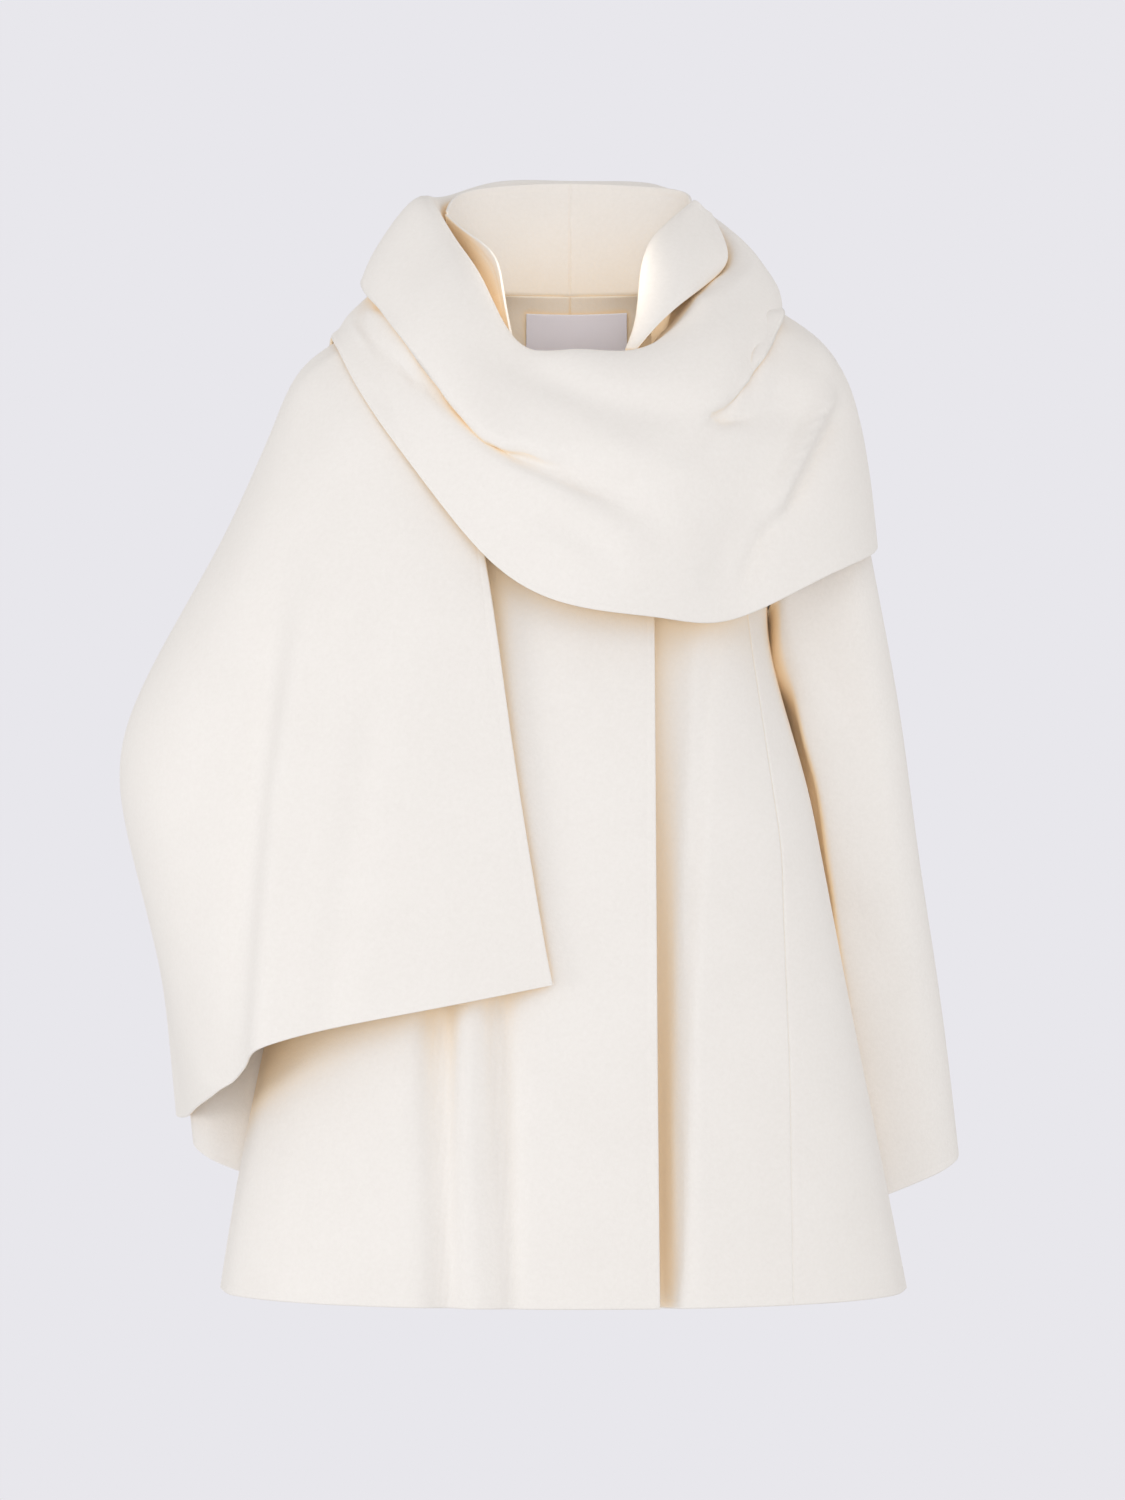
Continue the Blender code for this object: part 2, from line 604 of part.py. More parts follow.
for name, table, column, sign in (
    ("sleeve_left", SLEEVE_LEFT, 2 * MIDDLE_COLUMN, 1),
    ("sleeve_right", SLEEVE_RIGHT, 0, -1),
):
    tube = sleeve(table, armhole(front, back, column), sign, *SLEEVE_STEPS)
    room = np.where(np.arange(len(tube)) < FREE_RINGS, -REACH, LAYER)[:, None]
    grids[name] = cleared(tube, body, room, closed=True)

right_arm = outward(grids["sleeve_right"], closed=True)
left_arm = outward(grids["sleeve_left"], closed=True)
cape = net_grid(list(CAPE.values()), *CAPE_STEPS)
cape[0] = laid_on(cape[0], body, SEWN)
room = np.where(np.arange(len(cape)) < 1, SEWN, LAYER)[:, None]
cape = cleared(cape, [*body, right_arm], room)
grids["cape_panel"] = cape

directions = [row[0] for row in COLLAR]
foot = neck_edge(front, back, directions)
collar = np.array([[polar(row[0], pair) for pair in row[1:]] for row in COLLAR])
grids["collar_back"] = net_grid([foot, *collar.transpose(1, 0, 2)], *COLLAR_STEPS)
for name, table in (
    ("collar_front_left", COLLAR_FRONT_LEFT),
    ("collar_front_right", COLLAR_FRONT_RIGHT),
):
    foot = neck_edge(front, back, [row[0] for row in table])
    rest = np.array([row[1:] for row in table], float).transpose(1, 0, 2)
    if len(rest) > 2:
        rest = [(foot + rest[0]) / 2, *rest]
    grids[name] = net_grid([foot, *rest], 2 * len(rest) + 2, COLLAR_FRONT_STEPS)

cowl = cowl_grid(COWL_AROUND)
collars = [
    outward(grids["collar_back"]),
    outward(grids["collar_front_left"][:, :-TIP_COLUMNS], aside=EDGE_ASIDE),
]
room = np.interp(np.arange(len(cowl)), *np.transpose(COWL_ROOM))
under = [*body, outward(cape), *collars]
cowl[0] = laid_on(cowl[0], body, COWL_ROOM[0][1])
grids["hood_cowl"] = cleared(cowl, [*under, left_arm], room[:, None], closed=True)
label = label_grid(np.concatenate([grids["back_right"], grids["back_left"]], axis=1))

for name, grid in grids.items():
    piece(name, grid, closed=name in ("sleeve_left", "sleeve_right", "hood_cowl"))
piece("neck_label", label, wall=LABEL_WALL, colour=LABEL_COLOUR)
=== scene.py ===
# %% [markdown]
# # A hooded cape coat in thick wool
#
# This is a lesson in making a garment for Blender. The coat stands filled out, as
# if a body wore it, and it has thirteen pieces, as a maker would cut them: fronts, a
# side, backs, two sleeves, a cape over one arm, a collar, a hood let down as a
# cowl, and a woven label. The cloth's wall is thin, so each piece is a surface
# with two parameters, worked out as arrays, and then given two faces and a rim.
# The surface was built before as a plain solid in CAD. We load that solid as the
# frame and lay the detailed cloth exactly on it.

import bpy
import numpy as np
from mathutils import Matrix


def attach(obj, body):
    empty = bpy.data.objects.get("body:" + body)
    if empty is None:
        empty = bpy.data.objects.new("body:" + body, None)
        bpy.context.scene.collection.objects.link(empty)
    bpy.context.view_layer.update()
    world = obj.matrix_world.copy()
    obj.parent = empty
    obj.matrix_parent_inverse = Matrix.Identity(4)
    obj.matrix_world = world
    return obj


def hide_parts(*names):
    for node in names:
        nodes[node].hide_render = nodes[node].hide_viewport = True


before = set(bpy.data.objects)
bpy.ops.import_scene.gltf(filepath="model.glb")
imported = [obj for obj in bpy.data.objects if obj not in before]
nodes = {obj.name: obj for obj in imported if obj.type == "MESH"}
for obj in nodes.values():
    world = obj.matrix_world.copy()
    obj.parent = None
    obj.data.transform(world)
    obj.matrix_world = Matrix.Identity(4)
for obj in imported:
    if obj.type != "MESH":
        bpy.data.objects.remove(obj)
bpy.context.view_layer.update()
print("CAD nodes:", ", ".join(sorted(nodes)))

# %% Sizes of the cloth in millimetres
MM = 0.001
WALL = 2.5  # thickness of the wool
SEAM = 0.35  # each side of a seam stops this far short of it
SHOULDER_SEAM = 1.0  # the same at the shoulder, where the two sides meet at an angle
LAP = 7.0  # the closed front's under layer lies this far behind the upper one
LAYER = 5.0  # from the middle of one layer of wool to the middle of the next
REACH = 30.0  # a layer is kept clear of what lies this far under or over it,
ASIDE = 11.0  # and no further aside than this,
EDGE_ASIDE = 4.0  # or this, beside the collar front that turns down over the cowl
TIP_COLUMNS = 2  # the flat tip of that collar front, which nothing is moved clear of
ARMHOLE_ROWS = 5  # rows of the body's nets that the armhole runs down
ARMHOLE_GAP = 3.2  # from the middle of the body's wool to the middle of the sleeve's
SEWN = 2.9  # the same where a piece is sewn flat on another
LIFT = 2.2  # the collar stands this far above the neck edge it is sewn to
HEM_LEVEL = -777.0
FAR = 1000.0  # a line past the side seam, so that a panel reaches the seam
SIDE_Y = -15.0  # the side seams lie this far from the middle, toward the front
BODY_STEPS = (6, 14)  # grid steps down the body, above and below the chest
MIDDLE_COLUMN = 6  # of a body net, the line down the middle
COLUMNS = {"front_right": 16, "front_left": 14, "side_left": 6, "back": 10}
SLEEVE_STEPS = (20, 14)  # round a sleeve and down it
SLEEVE_FLATNESS = 0.65  # an arm hangs in the sleeve's back and leaves its front flat
FREE_RINGS = 4  # a sleeve's first rings run into the armhole and aren't moved clear
CAPE_STEPS = (16, 20)  # down the cape and across it
COLLAR_STEPS = (7, 18)  # up the collar's back and along it
COLLAR_FRONT_STEPS = 8  # along a collar front
COWL_AROUND = 60
print("wall of the wool in mm:", WALL)

# %% [markdown]
# ## The form, as short tables
#
# A pattern cutter describes a coat by its sections. We do the same: the body is a
# few rings below the armpits and a few rows of points above them, and splines
# make the rest. A mesh drawn by hand would be harder to correct.

# %% Tables for the body and its fronts
# Body below the armpits: height, then how far the cloth stands from the middle at
# the wearer's right, the left, the front and the back, and how square the ring is.
BODY = (
    # level, right, left, front, back, squareness
    (-250.0, 155.0, 152.0, 131.0, 100.0, 2.30),
    (-400.0, 192.0, 186.0, 142.0, 112.0, 2.30),
    (-546.0, 228.0, 214.5, 152.0, 124.0, 2.25),
    (-702.0, 259.0, 246.0, 164.0, 136.0, 2.20),
    (HEM_LEVEL, 271.0, 261.0, 170.0, 140.0, 2.15),
)

# Body above the armpits, one half: seven points from the middle out to the
# armhole. The fourth point of the first row is where neck and shoulder meet.
FRONT_TOP = {
    "neck and shoulder": (
        (0, -95, -68), (36, -88, -60), (64, -58, -35), (78, -8, -2),
        (116, -4, -18), (152, -2, -34), (185, 0, -50),
    ),
    "below the shoulder": (
        (0, -99, -80), (38, -95, -73), (68, -73, -52), (88, -38, -17),
        (120, -34, -27), (153, -31, -41), (182, -28, -57),
    ),
    "chest": (
        (0, -110, -118), (45, -108, -114), (85, -101, -106), (118, -88, -99),
        (145, -74, -97), (160, -65, -99), (172, -57, -103),
    ),
    "bust": (
        (0, -122, -182), (50, -121, -182), (92, -111, -182), (122, -96, -182),
        (142, -81, -182), (154, -70, -182), (162, -60, -184),
    ),
}
BACK_TOP = {
    "neck and shoulder": (
        (0, 78, 2), (36, 70, 2), (64, 38, 1), (78, -8, -2),
        (116, -4, -18), (152, -2, -34), (185, 0, -50),
    ),
    "below the shoulder": (
        (0, 82, -9), (40, 77, -8), (70, 53, -7), (88, 24, -9),
        (120, 28, -24), (153, 28, -40), (182, 28, -57),
    ),
    "shoulder blades": (
        (0, 95, -82), (45, 95, -84), (88, 92, -88), (122, 84, -92),
        (147, 73, -96), (162, 65, -99), (173, 57, -103),
    ),
    "middle of the back": (
        (0, 101, -165), (50, 101, -168), (92, 97, -172), (124, 88, -176),
        (144, 77, -179), (155, 67, -182), (163, 58, -184),
    ),
}

# Lines down the front: height, then the x of the lapped edge of the right front,
# the hidden edge of the left front under it, and the seam of the side piece.
FRONT_LINES = (
    # level, lapped edge, hidden edge, side seam
    (0.0, 62.0, 8.0, 118.0),
    (-120.0, 62.5, 8.0, 124.0),
    (-250.0, 64.0, 8.0, 134.0),
    (-430.0, 65.0, 10.0, 160.0),
    (-600.0, 66.0, 10.0, 166.0),
    (HEM_LEVEL, 67.5, 12.0, 168.0),
)

# Soft folds down the front: x under the hood and x at the hem, where the fold
# starts, its half width and its depth at the hem. A ridge has a minus depth.
FRONT_FOLDS = (
    # x above, x below, starts at, half width, depth
    (-92.0, -96.0, -430.0, 11.0, 4.0),
    (-69.0, -73.0, -430.0, 11.0, -2.0),
    (-48.0, -47.0, -430.0, 11.0, 4.0),
)

# The hollow beside the lapped edge: height, x where it is back at full height,
# and depth.
HOLLOW = (
    # level, x of its far side, depth
    (0.0, 112.0, 3.0),
    (-250.0, 110.0, 8.0),
    (-400.0, 101.0, 12.0),
    (-600.0, 91.0, 15.0),
    (HEM_LEVEL, 85.0, 18.0),
)

HOLLOW_FLOOR = 69.0  # x where the hollow is deepest
LAP_START = 100.0  # x where the under layer begins to sink behind the upper one,
LAP_RUN = 60.0  # and how far it runs to lie the whole lap behind
print("rings of the body below the armpits:", len(BODY))

# %% Tables for the sleeves and the cape
# Sleeves below the armhole, a row for each ring: its middle, its half width, its
# half depth, the tilt of its outer side and how far its front drops.
SLEEVE_LEFT = (
    # x, y, z, half width, half depth, tilt in degrees, front drop
    (182.0, 16.0, -175.0, 87.0, 64.0, 74.0, 0.0),
    (187.5, 25.0, -206.0, 80.0, 64.0, 67.0, 0.0),
    (198.0, 29.0, -262.0, 60.0, 58.0, 50.0, 0.0),
    (210.0, 38.0, -336.0, 50.0, 56.0, 24.0, 0.0),
    (225.0, 57.0, -440.0, 49.0, 54.0, 14.0, -0.10),
    (244.5, 88.0, -556.0, 49.0, 51.0, 14.0, -0.15),
    (264.0, 115.0, -699.0, 50.0, 50.0, 22.0, -0.15),
)
SLEEVE_RIGHT = (
    (182.8, 1.0, -179.0, 86.0, 64.0, 75.0, 0.0),
    (202.0, 4.0, -223.0, 68.0, 66.0, 62.0, 0.0),
    (232.0, 14.0, -276.0, 59.0, 62.0, 44.0, 0.0),
    (263.0, 28.0, -336.0, 58.0, 58.0, 34.0, 0.0),
    (283.0, 46.0, -402.0, 57.0, 56.0, 28.0, 0.0),
    (279.0, 66.0, -482.0, 53.0, 54.0, 21.0, -0.10),
    (264.0, 88.0, -576.0, 50.0, 49.0, 18.0, -0.20),
    (253.0, 105.0, -684.0, 50.0, 46.0, 20.0, -0.25),
)

# Cape panel over the wearer's right arm: a row for each section from its seam to
# the hem, and a column for each line that runs down the panel.
CAPE = {
    # front edge, flat front, crest, hollow
    # outside front, outermost, outside back
    # back, flat back, back edge
    "shoulder seam": (
        (-65, -110, -113), (-88, -102, -103), (-104, -87, -82), (-114, -67, -58),
        (-120, -41, -34), (-122, -8, -19), (-120, 26, -25),
        (-112, 58, -53), (-90, 81, -62), (-48, 93, -64),
    ),
    "shoulder": (
        (-72, -121, -130), (-112, -106, -112), (-142, -86, -92), (-166, -58, -68),
        (-181, -28, -50), (-185, 2, -45), (-180, 34, -52),
        (-160, 68, -68), (-120, 98, -92), (-60, 108, -104),
    ),
    "upper arm": (
        (-64, -138, -212), (-125, -131, -200), (-172, -112, -184), (-212, -84, -170),
        (-240, -44, -160), (-252, 4, -156), (-245, 48, -160),
        (-208, 92, -172), (-140, 120, -190), (-62, 124, -204),
    ),
    "above the elbow": (
        (-51, -143, -300), (-130, -147, -300), (-194, -135, -300), (-242, -106, -300),
        (-298, -62, -300), (-328, 4, -300), (-312, 66, -300),
        (-250, 114, -300), (-155, 138, -300), (-62, 138, -300),
    ),
    "elbow": (
        (-42, -147, -364), (-128, -152, -363), (-204, -139, -362), (-252, -109, -362),
        (-318, -62, -362), (-350, 10, -362), (-332, 80, -362),
        (-262, 128, -362), (-158, 148, -362), (-62, 146, -362),
    ),
    "below the elbow": (
        (-28, -153, -452), (-126, -159, -452), (-219, -141, -452), (-262, -109, -452),
        (-316, -56, -452), (-339, 18, -452), (-328, 98, -452),
        (-270, 154, -452), (-162, 170, -452), (-62, 160, -452),
    ),
    "above the hem": (
        (-18, -157, -510), (-126, -163, -518), (-231, -141, -530), (-266, -106, -540),
        (-301, -50, -548), (-315, 20, -552), (-312, 104, -552),
        (-266, 166, -548), (-162, 182, -544), (-62, 168, -540),
    ),
    "hem": (
        (-13, -159, -535), (-126, -165, -557), (-237, -138, -586), (-262, -103, -612),
        (-286, -50, -633), (-300, 14, -646), (-309, 102, -650),
        (-262, 168, -644), (-162, 188, -630), (-62, 174, -612),
    ),
}
print("rows of the cape panel:", len(CAPE))

# %% Tables for the hood and the collar
# Hood let down as a cowl: a row for each direction round the neck, in degrees from
# the front toward the wearer's left. Each pair is a distance out and a height: the
# foot on the body, the rim, the roll, the fold it ends in, then, past a tuck of the given
# depth, the layer below at the shoulder, lower down and at the hem.
COWL = (
    # direction, foot, rim, roll, fold, tuck depth, shoulder, lower, hem
    (-90, (90, -5), (108, 68), (144, 40), (162, 4), 15, (174, -17), (183, -27), (191, -36)),
    (-65, (91, -18), (98, 34), (132, 6), (151, -34), 15, (160, -56), (169, -71), (177, -85)),
    (-40, (97, -48), (103, -4), (137, -38), (155, -84), 14, (161, -112), (167, -133), (171, -157)),
    (-22, (102, -68), (112, -49), (139, -86), (156, -124), 9, (159, -152), (162, -184), (163, -216)),
    (0, (101, -78), (112, -56), (138, -88), (156, -132), 1, (164, -178), (166, -214), (162, -250)),
    (25, (103, -70), (120, -56), (146, -84), (162, -122), 0, (170, -168), (172, -214), (166, -260)),
    (45, (96, -44), (122, -36), (152, -56), (167, -92), 6, (176, -140), (179, -196), (175, -260)),
    (65, (89, -26), (117, -5), (148, -24), (160, -62), 17, (183, -104), (203, -160), (212, -228)),
    (90, (89, -5), (131, 25), (152, 15), (163, -9), 18, (204, -54), (229, -122), (239, -201)),
    (120, (84, -2), (108, 69), (129, 52), (146, 20), 14, (186, -38), (206, -104), (213, -178)),
    (150, (86, -3), (112, 88), (140, 76), (160, 34), 12, (174, -42), (176, -112), (170, -186)),
    (180, (84, -4), (112, 90), (140, 80), (164, 34), 12, (170, -46), (168, -116), (160, -194)),
    (210, (86, -3), (112, 88), (138, 76), (160, 30), 12, (168, -46), (169, -114), (166, -184)),
    (240, (85, -2), (112, 74), (138, 57), (158, 19), 14, (174, -40), (186, -78), (194, -114)),
)
TUCK_REACH = ((-1.0, -0.35), (-0.25, -0.85))  # deepest point and return, per depth
FULL_TUCK = 12.0  # a tuck of less depth opens out toward a plain slope
# Rows of the cowl's grid, each with the gap to what lies under it there.
COWL_ROOM = ((0, 4.0), (1, 5.0), (6, 5.0), (9, 15.0), (11, 15.0), (13, 9.0), (15, 5.0))
COWL_STEPS = (3, 3, 3, 2, 2, 3, 3, 3)  # grid steps between the points of a row

# Collar round the back of the neck, above its foot on the neck edge.
COLLAR = (
    # direction, middle, top
    (102.0, (88, 34), (97, 71)),
    (125.0, (92, 41), (108, 84)),
    (150.0, (88, 45), (102, 91)),
    (180.0, (86, 46), (99, 94)),
    (210.0, (88, 45), (102, 91)),
    (235.0, (91, 40), (105, 82)),
    (261.0, (88, 30), (98, 63)),
)

# Collar fronts: the direction of the foot on the neck edge, then points up to the
# outer edge. The left one turns down outward, and the right one stands.
COLLAR_FRONT_LEFT = (
    # foot direction, fold line, middle, outer edge
    (99.0, (95, 15, 69), (103, 14, 67), (110, 19, 62)),
    (84.0, (72, -20, 46), (97, -18, 41), (123, -5, 27)),
    (66.0, (59, -46, 26), (88, -46, 18), (113, -25, 8)),
    (50.0, (54, -66, -5), (75, -70, -8), (93, -58, -10)),
    (37.0, (50, -80, -34), (60, -84, -33), (69, -82, -32)),
    (27.0, (43, -88, -54), (46, -90, -54), (50, -91, -55)),
)
COLLAR_FRONT_RIGHT = (
    # foot direction, middle, top edge
    (264.0, (-91, 9, 32), (-97, 8, 60)),
    (285.0, (-76, -24, 20), (-80, -26, 43)),
    (306.0, (-63, -50, -3), (-58, -50, 22)),
    (322.0, (-55, -68, -25), (-51, -67, -7)),
    (334.0, (-44, -86, -53), (-44, -86, -46)),
)

# Woven label inside the back of the neck.
LABEL_SIDES = (-35.0, 46.0)
LABEL_LEVELS = (-12.0, -25.0, -40.0, -54.0)  # heights of its rows
LABEL_WALL = 0.6
LABEL_GAP = 1.0
print("directions of the cowl:", len(COWL))

# %% [markdown]
# ## Splines that carry the sections
#
# A natural cubic spline passes through its points with the least bending, as
# cloth does. Written as a table of weights it is one matrix product for a whole
# net of points, so no loop visits a vertex.

# %% Splines
def spline_weights(knots, places):
    """Weights on the knots' values of a natural cubic spline, a row for each place."""
    knots = np.asarray(knots, float)
    places = np.clip(places, knots[0], knots[-1])
    count = len(knots)
    step = np.diff(knots)
    inner = np.arange(1, count - 1)
    left = np.eye(count)
    right = np.zeros((count, count))
    left[inner, inner - 1] = step[:-1]
    left[inner, inner] = 2 * (step[:-1] + step[1:])
    left[inner, inner + 1] = step[1:]
    right[inner, inner - 1] = 6 / step[:-1]
    right[inner, inner] = -6 / step[:-1] - 6 / step[1:]
    right[inner, inner + 1] = 6 / step[1:]
    bend = np.linalg.solve(left, right)
    low = np.clip(np.searchsorted(knots, places, side="right") - 1, 0, count - 2)
    width = step[low]
    a = ((knots[low + 1] - places) / width)[..., None]
    b = 1 - a
    unit = np.eye(count)
    curve = (a**3 - a) * bend[low] + (b**3 - b) * bend[low + 1]
    return a * unit[low] + b * unit[low + 1] + curve * width[..., None] ** 2 / 6


def even(first, last, steps):
    """Values spaced evenly from the first to the last, both included."""
    return np.linspace(first, last, steps + 1)


def row_knots(net):
    """One knot for each row of a net, spaced by how far apart the rows lie."""
    gaps = np.linalg.norm(np.diff(net, axis=0), axis=2).mean(axis=1)
    return np.concatenate([[0], np.cumsum(gaps)])


def table_at(table, levels):
    """The columns of a table whose first column is a height, read at these heights."""
    rows = np.array(table, float)[::-1]
    return [np.interp(levels, rows[:, 0], rows[:, k]) for k in range(1, rows.shape[1])]


def steady_rows(net, knots, places):
    """A net read between its rows, with no overshoot where it turns a corner."""
    more = (1,) * (net.ndim - 1)
    step = np.diff(knots).reshape(-1, *more)
    slope = np.diff(net, axis=0) / step
    before, after = slope[:-1], slope[1:]
    both = before + after
    same = before * after > 0
    middle = np.where(same, 2 * before * after / np.where(same, both, 1), 0)
    turn = np.concatenate([slope[:1], middle, slope[-1:]])
    low = np.clip(np.searchsorted(knots, places, side="right") - 1, 0, len(knots) - 2)
    width = step[low]
    t = (places - knots[low]).reshape(-1, *more) / width
    held = (1 + 2 * t) * (1 - t) ** 2 * net[low] + t**2 * (3 - 2 * t) * net[low + 1]
    return held + width * t * (1 - t) * ((1 - t) * turn[low] - t * turn[low + 1])


def surface_normals(grid):
    """Unit normals of a grid, from the differences along its rows and columns."""
    across = np.cross(np.gradient(grid, axis=0), np.gradient(grid, axis=1))
    return across / np.linalg.norm(across, axis=2, keepdims=True)

# %% [markdown]
# ## Layers that don't touch
#
# The cowl lies on the cape, the cape on the sleeve and the sleeve beside the body.
# Each layer is measured against those under it and moved out where it is too near.

# %% Keep one layer clear of another
def halved(grid):
    """A grid with a point added half way along each step, both ways."""
    for _ in range(2):
        between = (grid[1:] + grid[:-1]) / 2
        more = np.empty((len(grid) + len(between), *grid.shape[1:]))
        more[::2], more[1::2] = grid, between
        grid = more.transpose(1, 0, 2)
    return grid


def outward(grid, closed=False, aside=ASIDE):
    """Points and normals of a grid, those of its top rows turned away from the middle."""
    if closed:
        grid = np.concatenate([grid, grid[:, :1]], axis=1)
    grid = halved(grid)
    normal = surface_normals(grid)
    middle = (grid.min(axis=1, keepdims=True) + grid.max(axis=1, keepdims=True)) / 2
    if not closed:
        middle = middle * (0, 0, 1) + (0, 30, 0)
    top = len(grid) // 3
    out = ((grid - middle)[:top, :, :2] * normal[:top, :, :2]).sum()
    return grid.reshape(-1, 3), (normal * np.sign(out)).reshape(-1, 3), aside


def cleared(grid, under, gaps, closed=False):
    """The grid, with each stretch nearer than its gap to a piece under it moved out."""
    gaps = np.broadcast_to(gaps, (len(grid), 1))
    if closed:
        grid = np.concatenate([grid[:, -1:], grid, grid[:, :1]], axis=1)
    for _ in range(2):
        fine = halved(grid)
        wanted = np.interp(np.arange(len(fine)) / 2, np.arange(len(grid)), gaps[:, 0])
        wanted = np.repeat(wanted, fine.shape[1])
        start = fine.reshape(-1, 3)
        moved = start
        for points, normals, most_aside in under:
            near = np.linalg.norm(moved[:, None] - points[None], axis=2).argmin(axis=1)
            offset = moved - points[near]
            height = (offset * normals[near]).sum(axis=1)
            aside = np.linalg.norm(offset - height[:, None] * normals[near], axis=1)
            over = (aside < most_aside) & (np.abs(height) < REACH)
            short = np.clip(wanted - height, 0, None) * over
            moved = moved + normals[near] * short[:, None]
        shift = np.pad((moved - start).reshape(fine.shape), ((1, 1), (1, 1), (0, 0)), "edge")
        rows, columns = fine.shape[:2]
        around = np.array(
            [shift[r : r + rows : 2, c : c + columns : 2] for r in range(3) for c in range(3)]
        )
        most = np.linalg.norm(around, axis=3).argmax(axis=0)
        grid = grid + np.take_along_axis(around, most[None, ..., None], axis=0)[0]
    return grid[:, 1:-1] if closed else grid


def laid_on(line, under, gap):
    """A line of points brought to this distance from the nearest piece under it."""
    points = np.concatenate([pair[0] for pair in under])
    normals = np.concatenate([pair[1] for pair in under])
    for _ in range(3):
        near = np.linalg.norm(line[:, None] - points[None], axis=2).argmin(axis=1)
        height = ((line - points[near]) * normals[near]).sum(axis=1)
        line = line + normals[near] * (gap - height)[:, None]
    return line


def neck_edge(front, back, directions):
    """The body's neck edge, raised by the lift, at directions from the front."""
    edge = np.vstack([front[0, 3:10], back[0, 4:9][::-1]])
    turn = np.degrees(np.arctan2(edge[:, 0], -edge[:, 1])) % 360
    order = np.argsort(turn)
    turn = turn[order]
    edge = edge[order]
    turn = np.concatenate([turn[-2:] - 360, turn, turn[:2] + 360])
    edge = np.concatenate([edge[-2:], edge, edge[:2]])
    return spline_weights(turn, np.asarray(directions) % 360) @ edge + (0, 0, LIFT)


def label_grid(back_cloth):
    """A small rectangle on the inside of the back, laid along its facets."""
    middle = back_cloth.shape[1] // 2
    fall = -back_cloth[:, middle, 2]
    rows = np.interp([-z for z in LABEL_LEVELS], fall, np.arange(len(fall)))
    x = even(*LABEL_SIDES, 8)
    lines = []
    for row in rows:
        low = int(row)
        cloth = back_cloth[low] + (row - low) * (back_cloth[low + 1] - back_cloth[low])
        lines.append([x, *(np.interp(x, cloth[:, 0], cloth[:, axis]) for axis in (1, 2))])
    label = np.array(lines).transpose(0, 2, 1)
    inward = surface_normals(label)
    inward *= -np.sign(inward[..., 1:2].mean())
    return label + inward * (WALL / 2 + LABEL_GAP + LABEL_WALL / 2)

# %% [markdown]
# ## The panels
#
# The body is a tube of rounded squares that widens to the hem. Panels are cut from
# it between seam lines, with each panel's points spread evenly along its width.

# %% Body panels
def ring_row(row, directions):
    """One ring of the body: a rounded square with its own depth on every side."""
    level, right, left, front, back, squareness = row
    turn = np.radians(directions)
    across = np.sign(np.sin(turn)) * np.abs(np.sin(turn)) ** (2 / squareness)
    along = np.sign(np.cos(turn)) * np.abs(np.cos(turn)) ** (2 / squareness)
    x = across * np.where(across < 0, right, left)
    y = SIDE_Y - along * np.where(along > 0, front + SIDE_Y, back - SIDE_Y)
    return np.stack([x, y, np.full_like(x, level)], axis=-1)


def body_net(top, turns):
    """Rows of points across the front or the back, from its right seam to its left."""
    rows = []
    for half in top.values():
        half = np.array(half, float)
        mirrored = half[:0:-1] * (-1, 1, 1)
        rows.append(np.vstack([mirrored, half]))
    rows.extend(ring_row(row, turns) for row in BODY)
    return np.array(rows)


def body_panel(net, rows_at, first, last, columns):
    """A grid cut from a body net between two lines, each given as an x for each row."""
    knots = row_knots(net)
    turns = even(-1, 1, net.shape[1] - 1)
    down = steady_rows(net, knots, rows_at)
    fine = even(-1, 1, 400)
    lines = steady_rows(down.transpose(1, 0, 2), turns, fine).transpose(1, 0, 2)
    share = even(0, 1, columns)
    grid = []
    for row, line, start, end in zip(down, lines, first, last):
        length = np.concatenate([[0], np.cumsum(np.linalg.norm(np.diff(line, axis=0), axis=1))])
        a = np.interp(start, line[:, 0], length) + SEAM
        b = np.interp(end, line[:, 0], length) - SEAM
        grid.append(steady_rows(row, turns, np.interp(a + (b - a) * share, length, fine)))
    return np.array(grid)


def down_body(net, steps):
    """Places down a body net, closer together where the shoulders turn."""
    knots = row_knots(net)
    start = knots[0] + SHOULDER_SEAM
    return np.concatenate([
        even(start, knots[3], steps[0])[:-1],
        even(knots[3], knots[-1], steps[1]),
    ])


def with_folds(grid, under):
    """Sinks the soft folds into the right front, and the hollow into the left one under it."""
    normal = surface_normals(grid)
    normal *= np.sign(-normal[..., 1:2].mean())
    x, level = grid[..., 0], grid[..., 2]
    sink = np.zeros_like(x)
    if under:
        far, depth = table_at(HOLLOW, level)
        share = np.clip((far - x) / (far - HOLLOW_FLOOR), 0, 1)
        sink += LAP * np.clip((LAP_START - x) / LAP_RUN, 0, 1) + depth * share**2 * (3 - 2 * share)
    else:
        for above, below, start, width, depth in FRONT_FOLDS:
            fall = np.clip((start - level) / (start - HEM_LEVEL), 0, 1)
            middle = above + (below - above) * fall
            sink += depth * np.sqrt(fall) * np.exp(-(((x - middle) / width) ** 2))
    return grid - normal * sink[..., None]

# %% Sleeves and the cowl
def armhole(front, back, side):
    """The armhole round one side, from the shoulder down the front and up the back."""
    down = front[:ARMHOLE_ROWS, side]
    up = back[:ARMHOLE_ROWS, side][::-1]
    return np.vstack([down, up[1:-1]])


def flatter(wave):
    """A cosine or sine raised toward a square wave, for a ring with flatter sides."""
    return np.sign(wave) * np.abs(wave) ** SLEEVE_FLATNESS


